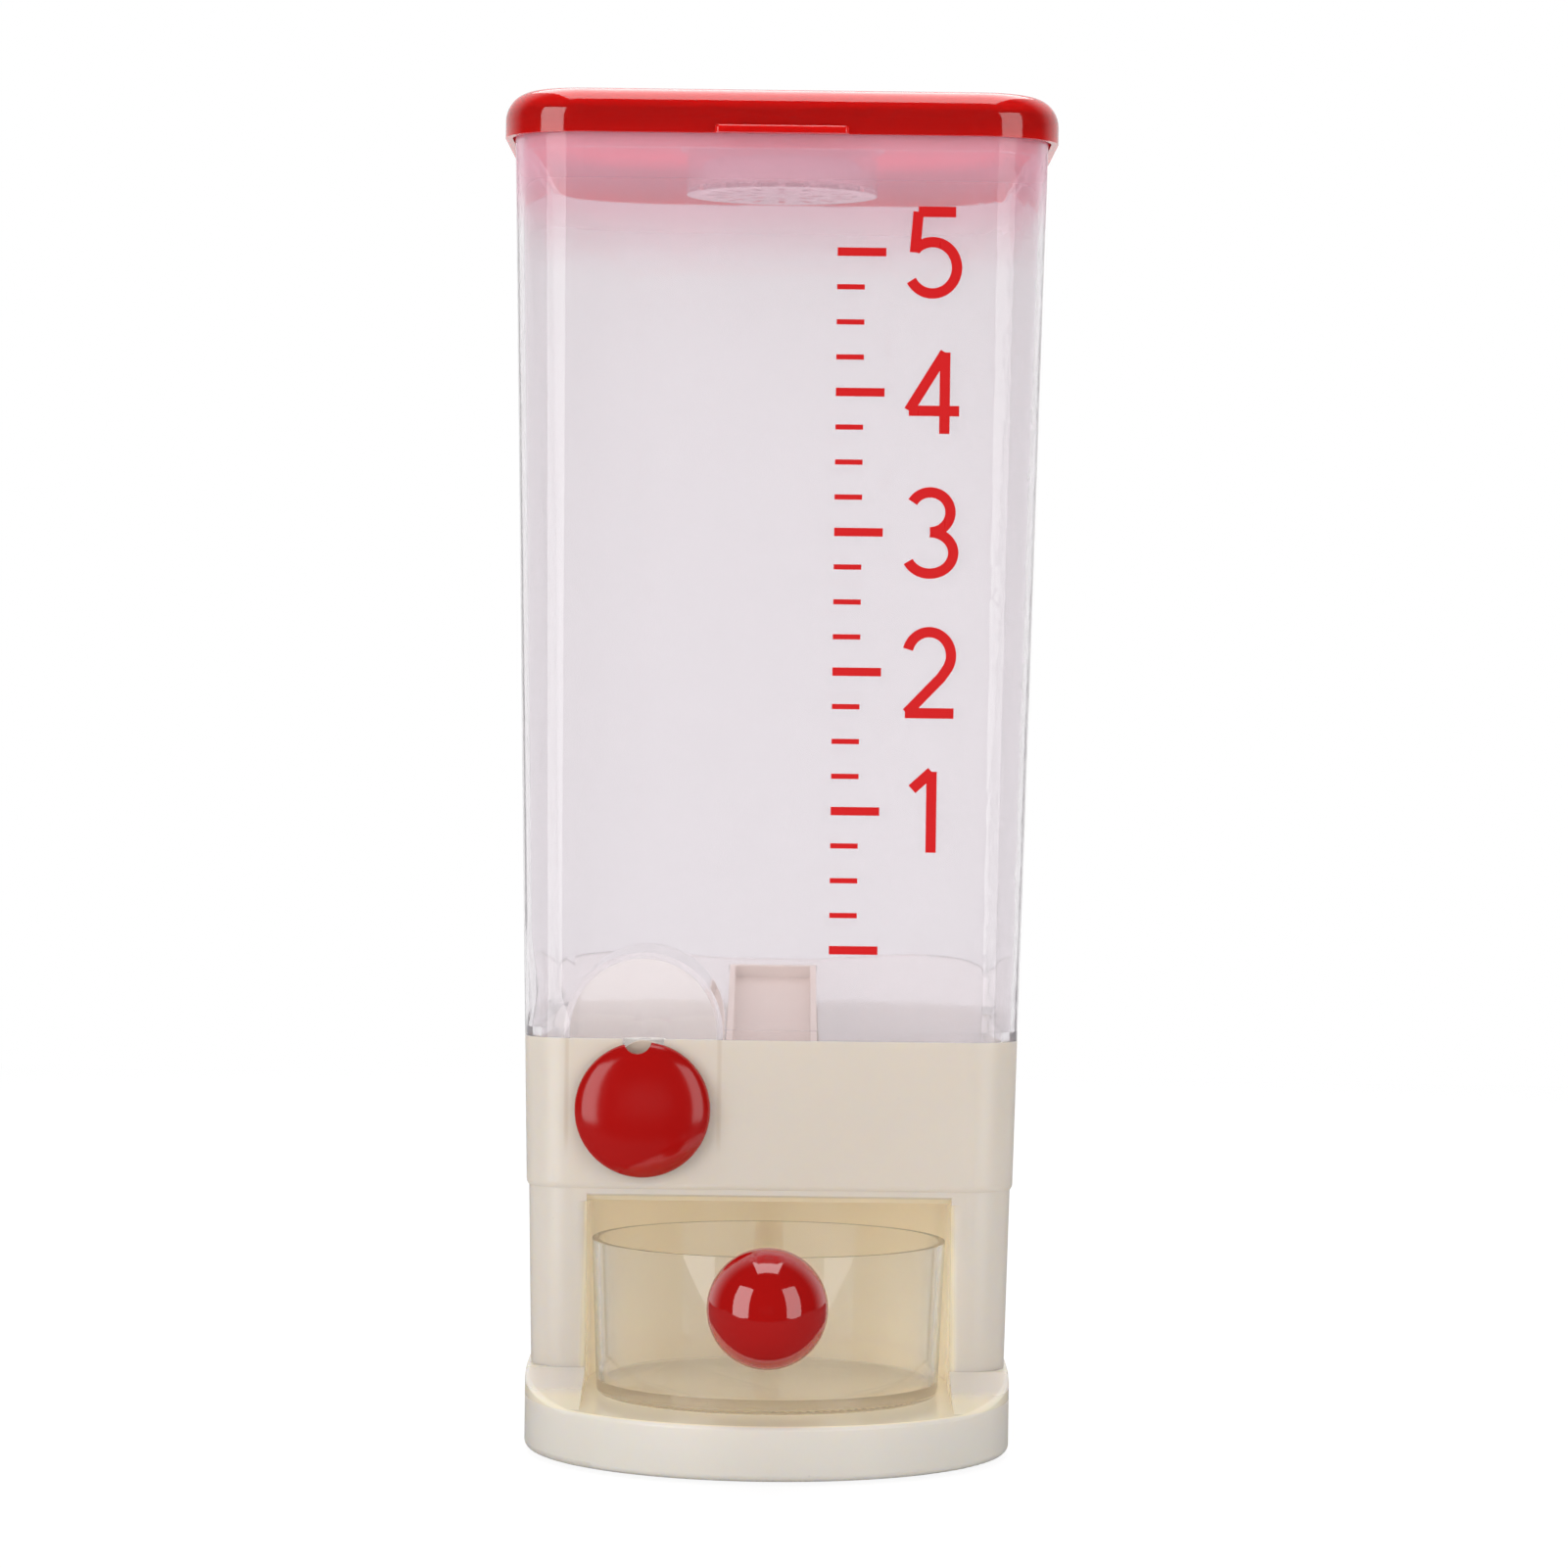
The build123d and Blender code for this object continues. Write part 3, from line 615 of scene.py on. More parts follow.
@dataclass(frozen=True)
class FibrePaper:
    """Fibre paper with grains that show through as dots."""

    name: str
    tone: Tone
    grain_tone: Tone
    fibres: Tone = (900.0, 160.0, 160.0)
    fibre_depth: float = 0.1
    fibre_detail: float = 4.0
    grains: float = 420.0
    grain_size: float = 0.45
    grain_rarity: float = 0.35
    grain_share: float = 0.3
    roughness: float = 0.85
    texture: float = 0.35
    relief: float = 0.0004

    def material(self) -> bpy.types.Material:
        """Builds the finish.

        Returns:
            The material.
        """
        material, graph = new_graph(self.name)
        fibre = graph.noise(graph.place(self.fibres), 1.0, self.fibre_detail)
        grains = graph.specks(graph.place(), self.grains, self.grain_size, self.grain_rarity)
        paper = graph.tones(fibre, scaled(self.tone, 1.0 - self.fibre_depth), self.tone)
        sockets = {
            "Base Color": graph.over(grains * self.grain_share, paper, self.grain_tone),
            "Roughness": self.roughness,
            "Normal": graph.bump(fibre + grains, self.texture, self.relief),
        }
        graph.close(graph.value("ShaderNodeBsdfPrincipled", sockets=sockets))
        return material


Finish = Union[MouldedPlastic, CreamPlastic, ClearPlastic, BrightSteel, FibrePaper]

RED_GLOSS = MouldedPlastic(
    "red_gloss",
    (0.41, 0.0045, 0.0036),
    roughness=0.06,
    clouding=0.03,
    streaking=0.03,
    texture=0.03,
    level=1.0,
)
KNOB_RED = replace(RED_GLOSS, name="knob_red", roughness=0.15, level=0.5)
LID_RED = replace(
    RED_GLOSS,
    name="lid_red",
    tone=(0.70, 0.0070, 0.0058),
    roughness=0.07,
    level=0.8,
    glow=1.0,
    glow_depth=0.020,
)
CARRIAGE_CREAM = MouldedPlastic(
    "carriage_cream",
    (0.74, 0.64, 0.52),
    roughness=0.35,
    clouding=0.03,
    streaking=0.08,
    texture=0.08,
    texture_scale=700.0,
)
CHUTE_CREAM = MouldedPlastic(
    "chute_cream", (0.74, 0.60, 0.52), roughness=0.30, clouding=0.02, streaking=0.06, texture=0.04
)
WHITE_MATT = replace(
    CARRIAGE_CREAM, name="white_matt", tone=(0.82, 0.81, 0.77), roughness=0.45, texture=0.12
)
SEAL_SILICONE = MouldedPlastic(
    "seal_silicone",
    (0.78, 0.76, 0.76),
    roughness=0.55,
    clouding=0.04,
    streaking=0.08,
    texture=0.15,
    texture_scale=900.0,
)
FOOT_RUBBER = MouldedPlastic(
    "foot_rubber",
    (0.10, 0.098, 0.095),
    roughness=0.75,
    clouding=0.10,
    streaking=0.1,
    texture=0.3,
    texture_scale=1500.0,
    dust=0.4,
)
PRINT_RED = MouldedPlastic(
    "print_red",
    (0.72, 0.010, 0.012),
    roughness=0.30,
    clouding=0.03,
    streaking=0.08,
    texture=0.06,
    texture_scale=1800.0,
    level=0.2,
)
BODY_CLEAR = ClearPlastic(
    "body_clear", tint=(0.882, 0.856, 0.876), lamp_tint=(0.97, 0.965, 0.97), haze=0.12, roughness=0.035
)
FUNNEL_CLEAR = ClearPlastic(
    "funnel_clear", tint=(0.955, 0.925, 0.92), lamp_tint=(0.97, 0.96, 0.96), haze=0.15, roughness=0.05
)
# Pink tint: partly a faint tint of the case, partly painted red light from the lid.
CASE_CLEAR = ClearPlastic(
    "case_clear", tint=(0.97, 0.85, 0.88), lamp_tint=(0.98, 0.975, 0.98), haze=0.10, roughness=0.08
)
CUP_CLEAR = ClearPlastic(
    "cup_clear",
    tint=(0.985, 0.980, 0.965),
    lamp_tint=(0.985, 0.98, 0.97),
    haze=0.02,
    roughness=0.015,
    waviness=0.02,
)
STEEL = BrightSteel("bright_steel", (0.66, 0.66, 0.68), roughness=0.25)
SACHET = FibrePaper("sachet_paper", tone=(0.88, 0.62, 0.68), grain_tone=(0.62, 0.45, 0.52))


def dress(node: str, material: bpy.types.Material) -> None:
    """Gives a CAD node its finish and reports it.

    Args:
        node: the node's name.
        material: its finish.
    """
    piece = frame["nodes"][node]
    piece.data.materials.clear()
    piece.data.materials.append(material)
    LOG.info("dressed %s in %s", node, material.name)


def new_piece(
    name: str, shape: Mesh, material: bpy.types.Material, smooth: bool = False
) -> bpy.types.Object:
    """Makes an object at the origin from points and faces.

    Args:
        name: name of the piece.
        shape: its points, one row each, and its faces, one row of point numbers each.
        material: its finish.
        smooth: whether light runs evenly across its faces.

    Returns:
        The object, linked to the scene.
    """
    points, faces = shape
    mesh = bpy.data.meshes.new(name)
    mesh.from_pydata(points.tolist(), [], faces.tolist())
    mesh.validate()
    mesh.materials.append(material)
    if smooth:
        mesh.shade_smooth()
    piece = bpy.data.objects.new(name, mesh)
    bpy.context.scene.collection.objects.link(piece)
    LOG.info("built %s with %d faces", name, len(mesh.polygons))
    return piece


@dataclass
class DressedGroup:
    """CAD nodes that share a finish."""

    finish: Finish
    nodes: Sequence[str]

    def dress(self) -> None:
        """Gives every node of the group the finish."""
        material = self.finish.material()
        for node in self.nodes:
            dress(node, material)


@dataclass
class Lid:
    """Red cover with its seal and the hinge pin behind."""

    cover: str = "lid_cover"
    seal: str = "lid_seal"
    pin: str = "hinge_pin"

    def dress(self) -> None:
        """Finishes the cover, the seal and the pin."""
        DressedGroup(LID_RED, [self.cover]).dress()
        DressedGroup(SEAL_SILICONE, [self.seal]).dress()
        DressedGroup(STEEL, [self.pin]).dress()


@dataclass
class DesiccantCase:
    """Clear vented case under the lid and the sachet in it."""

    shells: Tuple[str, ...] = ("desiccant_case", "desiccant_cap")
    sachet: str = "desiccant_pack"

    def dress(self) -> None:
        """Finishes the case and the sachet."""
        DressedGroup(CASE_CLEAR, self.shells).dress()
        DressedGroup(SACHET, [self.sachet]).dress()


@dataclass
class LevelGauge:
    """Red print on the front of the clear body: a scale of short bars with plain numbers."""

    front_low_z: float
    front_low_y: float
    front_share: float
    foot_gap: float = 0.026
    unit: float = 0.043
    units: int = 5
    parts: int = 4
    left_x: float = 0.0175
    long_bar: float = 0.0150
    short_bar: float = 0.0085
    bar_half: float = 0.0013
    thin_half: float = 0.0008
    number_x: float = 0.0400
    number_height: float = 0.0250
    stroke_half: float = 0.0016
    lift: float = 0.00003
    thick: float = 0.00006
    layer: float = 0.00002

    @property
    def low_z(self) -> float:
        """Height of the scale's lowest bar, a gap above the foot of the wall."""
        return self.front_low_z + self.foot_gap

    def strokes(self, number: int) -> Sequence[np.ndarray]:
        """Middle lines of a number's strokes, from 0 to 1 in height and 0 to 0.6 in width.

        Args:
            number: the number, 1 to 5.

        Returns:
            One array of points for each stroke: straight runs between ends, and arcs of ellipses.
        """
        shapes = {
            1: [line((0.10, 0.78), (0.34, 1.0)), line((0.34, 1.0), (0.34, 0.0))],
            2: [
                np.vstack(
                    [arc((0.29, 0.71), (0.27, 0.29), 165.0, -38.0), line((0.44, 0.44), (0.02, 0.0))]
                ),
                line((0.0, 0.0), (0.6, 0.0)),
            ],
            3: [
                arc((0.28, 0.755), (0.25, 0.245), 150.0, -90.0),
                arc((0.28, 0.255), (0.29, 0.255), 90.0, -155.0),
            ],
            4: [
                line((0.44, 0.0), (0.44, 1.0)),
                line((0.44, 1.0), (0.0, 0.28)),
                line((0.0, 0.28), (0.62, 0.28)),
            ],
            5: [
                line((0.55, 1.0), (0.09, 1.0)),
                line((0.09, 1.0), (0.05, 0.50)),
                arc((0.27, 0.315), (0.30, 0.315), 137.0, -150.0),
            ],
        }
        return shapes[number]

    def on_wall(self, shape: Mesh) -> Mesh:
        """Lays a flat shape on the sloping front wall.

        The wall's y is its y at the foot less a share of the height above it, and a point's own
        lift goes forward from there.

        Args:
            shape: points as rows of x, height and lift, and faces.

        Returns:
            The same faces on the wall.
        """
        flat, faces = shape
        wall_y = self.front_low_y - (flat[:, 1] - self.front_low_z) * self.front_share
        return np.stack([flat[:, 0], wall_y - flat[:, 2], flat[:, 1]], axis=1), faces

    def bars(self) -> Sequence[Mesh]:
        """Builds the scale's bars.

        Returns:
            A long bar at each whole unit and short ones between.
        """
        made = []
        for step in range(self.units * self.parts + 1):
            whole = step % self.parts == 0
            reach = self.long_bar if whole else self.short_bar
            half = self.bar_half if whole else self.thin_half
            height = self.low_z + self.unit * step / self.parts
            path = line((self.left_x, height), (self.left_x + reach, height))
            made.append(ribbon(path, half, self.lift, self.lift + self.thick))
        return made

    def numbers(self) -> Sequence[Mesh]:
        """Builds the plain numbers beside the long bars.

        Returns:
            The strokes of all the numbers.
        """
        made = []
        for number in range(1, self.units + 1):
            corner = np.array([self.number_x, self.low_z + self.unit * number - self.number_height / 2])
            for layer, stroke in enumerate(self.strokes(number), start=1):
                path = corner + stroke * self.number_height
                top = self.lift + self.thick + self.layer * layer
                made.append(ribbon(path, self.stroke_half, self.lift, top))
        return made

    def build(self) -> bpy.types.Object:
        """Builds the print as one thin piece on the body.

        Returns:
            The piece.
        """
        print_shape = self.on_wall(merged([*self.bars(), *self.numbers()]))
        piece = new_piece("level_gauge", print_shape, PRINT_RED.material())
        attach(piece, Body.DISPENSER.value)
        return piece


def line(start: Tuple[float, float], end: Tuple[float, float]) -> np.ndarray:
    """A straight run of points: the start plus equal shares of the way to the end."""
    share = np.linspace(0.0, 1.0, LINE_POINTS)[:, None]
    return np.array(start) * (1.0 - share) + np.array(end) * share


def arc(
    centre: Tuple[float, float], radii: Tuple[float, float], first: float, last: float
) -> np.ndarray:
    """An arc of an ellipse: the centre plus each radius times the cosine or sine of an even turn."""
    turn = np.radians(np.linspace(first, last, ARC_POINTS))[:, None]
    return np.array(centre) + np.array(radii) * np.hstack([np.cos(turn), np.sin(turn)])


def ribbon(path: np.ndarray, half: float, low: float, high: float) -> Mesh:
    """A flat bar carried along a path.

    At each point the path's direction is turned a quarter to give the side, and the section's four
    corners lie half a width to each side, at a low and a high lift. Both ends are closed.

    Args:
        path: points in x and height.
        half: half the bar's width.
        low: lift of the back.
        high: lift of the front.

    Returns:
        The bar's points as rows of x, height and lift, and its faces.
    """
    run = np.gradient(path, axis=0)
    run /= np.linalg.norm(run, axis=1, keepdims=True)
    side = np.stack([-run[:, 1], run[:, 0]], axis=1) * half
    count = len(path)
    corners = [(path + side, low), (path - side, low), (path - side, high), (path + side, high)]
    rings = np.stack([np.hstack([flat, np.full((count, 1), lift)]) for flat, lift in corners], axis=1)
    first = 4 * np.arange(count - 1)[:, None] + np.arange(4)
    after = 4 * np.arange(count - 1)[:, None] + (np.arange(4) + 1) % 4
    walls = np.stack([first, after, after + 4, first + 4], axis=2).reshape(-1, 4)
    last = 4 * (count - 1)
    caps = np.array([[3, 2, 1, 0], [last, last + 1, last + 2, last + 3]])
    return rings.reshape(-1, 3), np.vstack([walls, caps])


def merged(shapes: Sequence[Mesh]) -> Mesh:
    """Joins several shapes, with each shape's point numbers moved past those before it.

    Args:
        shapes: points and faces of each shape.

    Returns:
        Points and faces of them all.
    """
    starts = np.cumsum([0] + [len(points) for points, _ in shapes[:-1]])
    points = np.vstack([points for points, _ in shapes])
    return points, np.vstack([faces + start for (_, faces), start in zip(shapes, starts)])


@dataclass
class Hopper:
    """Clear body with the knob's tunnel, the funnel floor and the chute inside."""

    body: str = "clear_body"
    funnel: Tuple[str, ...] = ("gate_tunnel", "hopper_floor")
    chute: str = "outlet_chute"
    band: str = "housing"
    body_draft: float = 0.012
    band_clear: float = 0.1 * MILLIMETRE
    forward_limit: float = -0.9995
    # Painted red light from the lid on the body below its rim.
    lid_light_tone: Tone = (0.96, 0.45, 0.60)
    lid_light_share: float = 0.28
    lid_light_end: float = 37.0 * MILLIMETRE
    lid_light_start: float = 10.0 * MILLIMETRE

    def dress(self) -> None:
        """Finishes the body, with painted red light from the lid fading down from its rim, the funnel and the
        chute.
        """
        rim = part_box(self.body)[1].z
        low, high = rim - self.lid_light_end, rim - self.lid_light_start
        lid_light = PaintedLidLight(self.lid_light_tone, self.lid_light_share, low, high)
        DressedGroup(replace(BODY_CLEAR, lid_light=lid_light), [self.body]).dress()
        DressedGroup(FUNNEL_CLEAR, self.funnel).dress()
        DressedGroup(CHUTE_CREAM, [self.chute]).dress()

    def gauge(self) -> LevelGauge:
        """The level gauge, set to the front wall of the body.

        Returns:
            A gauge whose wall runs from the band's top to the body's rim.
        """
        mesh = frame["nodes"][self.body].data
        normals = np.empty(len(mesh.polygons) * 3, np.float32)
        corners = np.empty(len(mesh.polygons) * 3, np.int32)
        points = np.empty(len(mesh.vertices) * 3, np.float32)
        mesh.polygons.foreach_get("normal", normals)
        mesh.polygons.foreach_get("vertices", corners)
        mesh.vertices.foreach_get("co", points)
        points = points.reshape(-1, 3)
        forward = normals.reshape(-1, 3)[:, 1] < self.forward_limit
        wall = points[corners.reshape(-1, 3)[forward].ravel()]
        above_band = wall[:, 2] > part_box(self.band)[1].z + self.band_clear
        wall = wall[above_band & (wall[:, 1] < wall[:, 1].min() + self.body_draft)]
        low, high = wall[wall[:, 2].argmin()], wall[wall[:, 2].argmax()]
        share = (low[1] - high[1]) / (high[2] - low[2])
        LOG.info("front wall from %.4f to %.4f m, leaning %.4f", low[2], high[2], share)
        return LevelGauge(float(low[2]), float(low[1]), float(share))


@dataclass
class Housing:
    """Cream band, pillars and niche, the tray under them and the spout."""

    nodes: Tuple[str, ...] = ("housing", "outlet_spout")
    tray: str = "base_tray"
    # Painted light: the tray takes a lighter copy of the cream, and the niche's painted tone and glow fade
    # out over a wide band at its sides.
    tray_lightened_tone: Tone = (0.81, 0.745, 0.67)
    tray_fade: float = 30.0 * MILLIMETRE
    tone: Tone = (0.735, 0.660, 0.585)
    niche_painted_light_tone: Tone = (0.94, 0.82, 0.62)
    # Painted shade: tone of the two hairlines on the band.
    groove_shade_tone: Tone = (0.60, 0.50, 0.40)
    cup: str = "cup"
    body: str = "clear_body"
    cup_home: float = 27.5 * MILLIMETRE
    cup_room: float = 2.5 * MILLIMETRE
    back_room: float = 3.0 * MILLIMETRE
    front_edge: float = 2.0 * MILLIMETRE
    top_edge: float = 0.5 * MILLIMETRE
    tunnel: str = "gate_tunnel"
    tunnel_wall: float = 1.8 * MILLIMETRE

    def dress(self) -> None:
        """Finishes the cream mouldings: the cup sets the niche, the body and tunnel the band."""
        cup_low, cup_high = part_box(self.cup)
        shell_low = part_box(self.nodes[0])[0]
        band_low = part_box(self.body)[0].z
        tunnel_low, tunnel_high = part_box(self.tunnel)
        finish = CreamPlastic(
            "cream_gloss",
            self.tone,
            self.niche_painted_light_tone,
            self.groove_shade_tone,
            niche_half=cup_high.x + self.cup_room,
            niche_front=shell_low.y + self.front_edge,
            niche_back=cup_high.y + self.cup_home + self.back_room,
            niche_low=cup_low.z,
            niche_top=band_low - self.top_edge,
            band_low=band_low,
            track_places=(tunnel_low.x + self.tunnel_wall / 2, tunnel_high.x - self.tunnel_wall / 2),
        )
        DressedGroup(finish, self.nodes).dress()
        # Painted light: a lighter copy of the cream for the tray.
        tray = replace(finish, name="tray_cream", tone=self.tray_lightened_tone, side_fade=self.tray_fade)
        DressedGroup(tray, [self.tray]).dress()


@dataclass
class ReturnSpring:
    """Steel spring round the guide rod, in one shape; how far it would close as the knob is lifted is only
    worked out and logged.
    """

    node: str = "return_spring"
    joint: str = "knob_lift"
    wire: float = 0.45 * MILLIMETRE
    turns: int = 8
    turn_steps: int = 36
    sides: int = 12

    def keep(self) -> float:
        """Works out how far the spring closes.

        Returns:
            The share of its height that is left when the knob is right up.
        """
        low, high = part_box(self.node)
        lift = next(joint for joint in frame["joints"] if joint["name"] == self.joint)
        return 1.0 - max(lift["range_m"]) / (high.z - low.z)

    def coil(self) -> Mesh:
        """A round wire wound into a coil.

        The wire's middle line turns evenly about the rod at one radius and climbs evenly from the
        lower end to the upper one. At each step a circle of the wire's radius lies round it, part
        outward and part square to both the radius and the run. Both ends are closed.

        Returns:
            The coil's points and faces.
        """
        low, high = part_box(self.node)
        centre = (low + high) / 2
        radius = (high.x - low.x) / 2 - self.wire
        climb = high.z - low.z - 2 * self.wire
        count = self.turns * self.turn_steps + 1
        turn = np.linspace(0.0, 2 * math.pi * self.turns, count)[:, None]
        flat = np.zeros_like(turn)
        outward = np.hstack([np.cos(turn), np.sin(turn), flat])
        slope = climb / (2 * math.pi * self.turns * radius)
        run = np.hstack([-np.sin(turn), np.cos(turn), flat + slope])
        run /= np.linalg.norm(run, axis=1, keepdims=True)
        square = np.cross(outward, run)
        rise = np.linspace(low.z + self.wire, high.z - self.wire, count)[:, None]
        middle = np.hstack([flat + centre.x, flat + centre.y, rise]) + outward * radius
        round_wire = np.linspace(0.0, 2 * math.pi, self.sides, endpoint=False)[None, :, None]
        ring = outward[:, None] * np.cos(round_wire) + square[:, None] * np.sin(round_wire)
        points = (middle[:, None] + ring * self.wire).reshape(-1, 3)
        start = self.sides * np.arange(count - 1)[:, None]
        first = start + np.arange(self.sides)
        after = start + (np.arange(self.sides) + 1) % self.sides
        walls = np.stack([first, first + self.sides, after + self.sides, after], axis=2).reshape(-1, 4)
        step = np.arange(1, self.sides - 2, 2)
        near = np.stack([0 * step, step, step + 1, step + 2], axis=1)
        far = near[:, ::-1] + self.sides * (count - 1)
        return points, np.vstack([walls, near, far])

    def build(self) -> bpy.types.Object:
        """Builds the spring in place of its plain node, which it hides, riding on the dispenser.

        Returns:
            The piece.
        """
        low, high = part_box(self.node)
        piece = new_piece("closing_spring", self.coil(), STEEL.material(), smooth=True)
        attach(piece, Body.DISPENSER.value)
        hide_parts(self.node)
        self.keep()
        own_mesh(piece)
        LOG.info("spring closes to %.3f of its height", self.keep())
        return piece


@dataclass
class KnobDrive:
    """Red lifting knob with its carriage, gate, rod and spring."""

    knob: str = "button_knob"
    carriage: str = "knob_carriage"
    mouldings: Tuple[str, ...] = ("gate_plate", "rod_cap")
    metal: Tuple[str, ...] = ("knob_screw", "gate_screws", "guide_rod")

    def dress(self) -> None:
        """Finishes the knob and what it moves."""
        DressedGroup(KNOB_RED, [self.knob]).dress()
        DressedGroup(CARRIAGE_CREAM, [self.carriage]).dress()
        DressedGroup(WHITE_MATT, self.mouldings).dress()
        DressedGroup(STEEL, self.metal).dress()

    def spring(self) -> ReturnSpring:
        """The spring that brings the knob down again."""
        return ReturnSpring()


@dataclass
class Measure:
    """Clear cup with its red ball."""

    cup: str = "cup"
    ball: str = "ball_knob"
    screw: str = "ball_screw"

    def dress(self) -> None:
        """Finishes the cup, the ball and its screw."""
        DressedGroup(CUP_CLEAR, [self.cup]).dress()
        DressedGroup(RED_GLOSS, [self.ball]).dress()
        DressedGroup(STEEL, [self.screw]).dress()


@dataclass
class Underside:
    """Bottom plate with its feet and screws."""

    plate: str = "base_plate"
    feet: str = "feet"
    screws: str = "base_screws"

    def dress(self) -> None:
        """Finishes the plate, the feet and the screws."""
        DressedGroup(WHITE_MATT, [self.plate]).dress()
        DressedGroup(FOOT_RUBBER, [self.feet]).dress()
        DressedGroup(STEEL, [self.screws]).dress()


@dataclass(frozen=True)
class Softbox:
    """A square lamp aimed at the middle of the dispenser."""

    name: str
    azimuth: float
    elevation: float
    distance: float
    width: float
    height: float
    radiance: float
    mirrored: bool = True

    def build(self, target: Vector) -> None:
        """Adds the lamp.

        Args:
            target: the point it is aimed at.
        """
        turn, rise = math.radians(self.azimuth), math.radians(self.elevation)
        level = math.cos(rise)
        away = Vector((math.sin(turn) * level, -math.cos(turn) * level, math.sin(rise)))
        data = bpy.data.lights.new(self.name, "AREA")
        data.shape = "RECTANGLE"
        data.size = self.width
        data.size_y = self.height
        data.energy = math.pi * self.width * self.height * self.radiance
        lamp = bpy.data.objects.new(self.name, data)
        lamp.location = target + away * self.distance
        lamp.rotation_euler = (-away).to_track_quat("-Z", "Y").to_euler()
        lamp.visible_camera = False
        lamp.visible_transmission = False
        lamp.visible_glossy = self.mirrored
        bpy.context.scene.collection.objects.link(lamp)
        LOG.info("lit by %s", self.name)


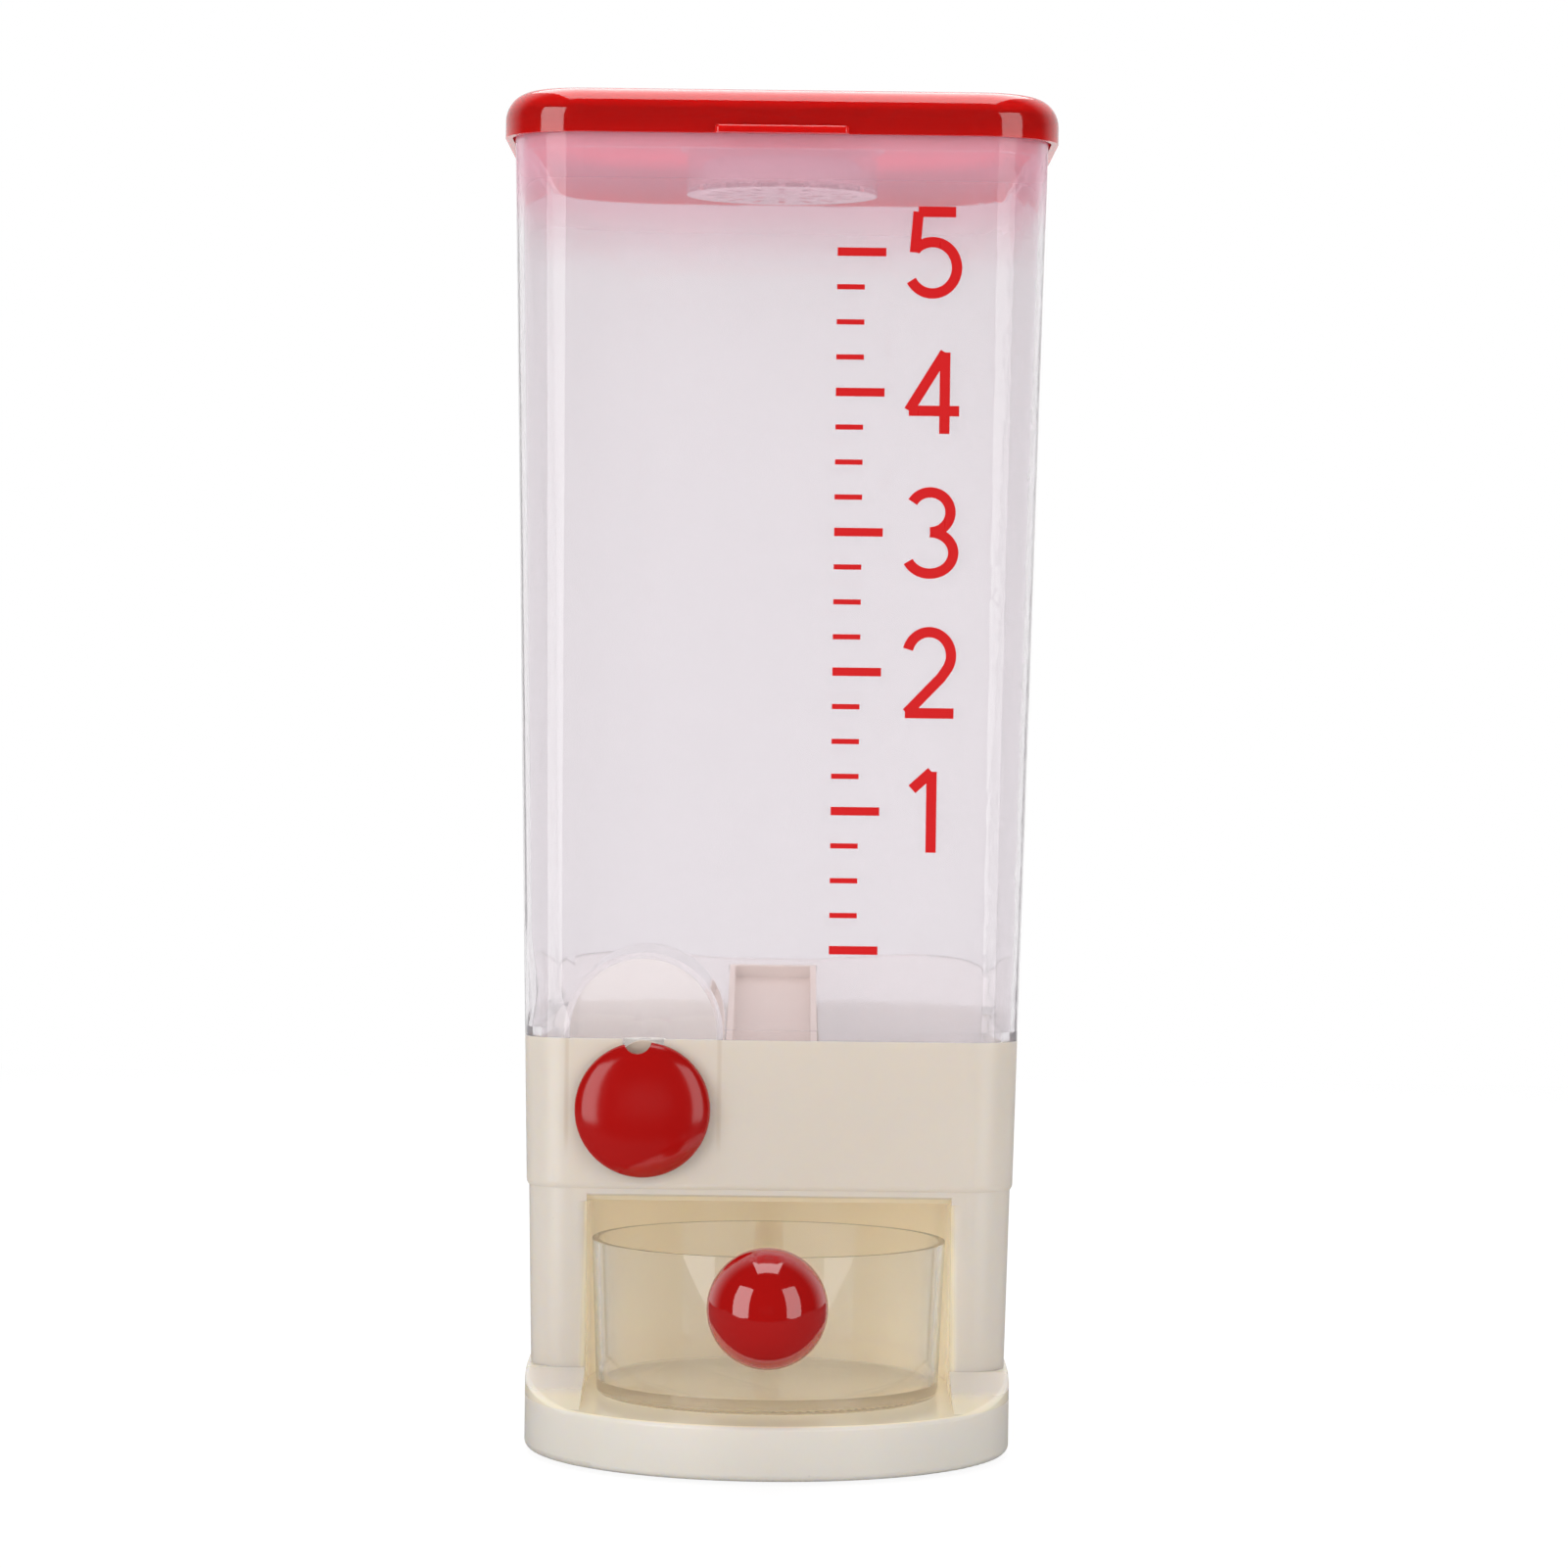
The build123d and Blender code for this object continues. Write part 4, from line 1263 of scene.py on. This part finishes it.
@dataclass
class Studio:
    """White studio: a pale floor, a bright backdrop behind, a dim room in front and soft lamps."""

    target: Vector
    floor_half: float = 1.5
    floor_front: float = -0.30
    floor_back: float = 1.5
    room: float = 0.28
    dark: float = 0.03
    backdrop: float = 0.85
    backdrop_edge: Tuple[float, float] = (0.15, 0.8)
    white: float = 0.91
    shade: float = 0.13
    floor_clouds: float = 3.0
    floor_dark: Tone = (0.80, 0.80, 0.80)
    floor_pale: Tone = (0.83, 0.83, 0.83)
    lamps: Tuple[Softbox, ...] = (
        Softbox("left_softbox", -50.0, 10.0, 1.6, 0.95, 1.6, 2.85),
        Softbox("right_softbox", 50.0, 10.0, 1.6, 0.85, 1.6, 2.1),
        Softbox("top_softbox", 180.0, 72.0, 1.3, 0.95, 1.75, 2.8),
        Softbox("front_fill", 0.0, -2.0, 1.8, 0.9, 0.5, 3.0, mirrored=False),
    )

    def world(self) -> None:
        """Lights the room: white where it is looked at, and bright only behind for the rest."""
        world = bpy.data.worlds.new("studio")
        world.use_nodes = True
        bpy.context.scene.world = world
        graph = Graph(world.node_tree)
        path = graph.node("ShaderNodeLightPath")
        seen = graph.seen(path)
        way = graph.value("ShaderNodeTexCoord", output="Generated")
        deep = graph.value("ShaderNodeSeparateXYZ", sockets={0: way}, output=1)
        front = self.room + Shade(graph, path.outputs["Is Glossy Ray"]) * (self.dark - self.room)
        light = front + graph.rise(deep, *self.backdrop_edge) * (self.backdrop - front)
        strength = seen + (1.0 - seen) * light
        sockets = {"Color": WHITE, "Strength": strength}
        shader = graph.value("ShaderNodeBackground", sockets=sockets)
        graph.close(shader, "ShaderNodeOutputWorld")

    def floor(self) -> None:
        """Adds the floor, a square grid of points at height 0, white to the eye but for the shadow."""
        across = np.linspace(-self.floor_half, self.floor_half, 3)
        along = np.linspace(self.floor_front, self.floor_back, 3)
        x, y = (grid.ravel() for grid in np.meshgrid(across, along))
        corner = (np.arange(2)[:, None] * 3 + np.arange(2)).ravel()
        faces = np.stack([corner, corner + 1, corner + 4, corner + 3], axis=1)
        material, graph = new_graph("floor_pale")
        path = graph.node("ShaderNodeLightPath")
        seen = graph.seen(path)
        gloss = Shade(graph, path.outputs["Is Glossy Ray"])
        strength = seen * self.white
        cloud = graph.noise(graph.place(), self.floor_clouds)
        pale = graph.tones(cloud, self.floor_dark, self.floor_pale)
        lit = graph.value("ShaderNodeBsdfDiffuse", sockets={"Color": pale})
        glow = graph.value("ShaderNodeEmission", sockets={"Color": WHITE, "Strength": strength})
        grey = (self.shade, self.shade, self.shade, 1.0)
        faint = graph.value("ShaderNodeBsdfDiffuse", sockets={"Color": grey})
        white = graph.value("ShaderNodeAddShader", sockets={0: glow, 1: faint})
        sockets = {0: seen.largest(gloss), 1: lit, 2: white}
        graph.close(graph.value("ShaderNodeMixShader", sockets=sockets))
        new_piece("floor", (np.stack([x, y, 0.0 * x], axis=1), faces), material)

    def build(self) -> None:
        """Builds the room, the floor and the lamps."""
        self.world()
        self.floor()
        for lamp in self.lamps:
            lamp.build(self.target)


@dataclass(frozen=True)
class Viewpoint:
    """Camera in front of the dispenser, a little down and rolled."""

    location: Tuple[float, float, float] = (0.00303, -1.658, 0.235)
    lens: float = 119.2
    pitch_down: float = 1.032
    roll: float = 0.70
    sensor: float = 36.0
    nearest: float = 0.05
    farthest: float = 100.0

    def build(self) -> None:
        """Adds the camera and makes it the scene's own."""
        pitch, roll = math.radians(self.pitch_down), math.radians(self.roll)
        ahead = Vector((0.0, math.cos(pitch), -math.sin(pitch)))
        right = Vector((1.0, 0.0, 0.0))
        up = right.cross(ahead)
        across = right * math.cos(roll) + up * math.sin(roll)
        above = up * math.cos(roll) - right * math.sin(roll)
        turned = Matrix((across, above, -ahead)).transposed().to_4x4()
        data = bpy.data.cameras.new("viewpoint")
        data.sensor_width = self.sensor
        data.lens = self.lens
        data.clip_start, data.clip_end = self.nearest, self.farthest
        camera = bpy.data.objects.new("viewpoint", data)
        camera.matrix_world = Matrix.Translation(self.location) @ turned
        bpy.context.scene.collection.objects.link(camera)
        bpy.context.scene.camera = camera


def main() -> None:
    """Dresses the CAD nodes, builds the print, spring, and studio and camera."""
    logging.basicConfig(level=logging.INFO, format="%(message)s")
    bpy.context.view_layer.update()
    hopper, drive = Hopper(), KnobDrive()
    for group in (Lid(), DesiccantCase(), hopper, Housing(), drive, Measure(), Underside()):
        group.dress()
    hopper.gauge().build()
    drive.spring().build()
    Studio(Vector(AIM)).build()
    Viewpoint().build()
    bpy.context.scene.view_settings.view_transform = "Standard"


if __name__ == "__main__":
    main()
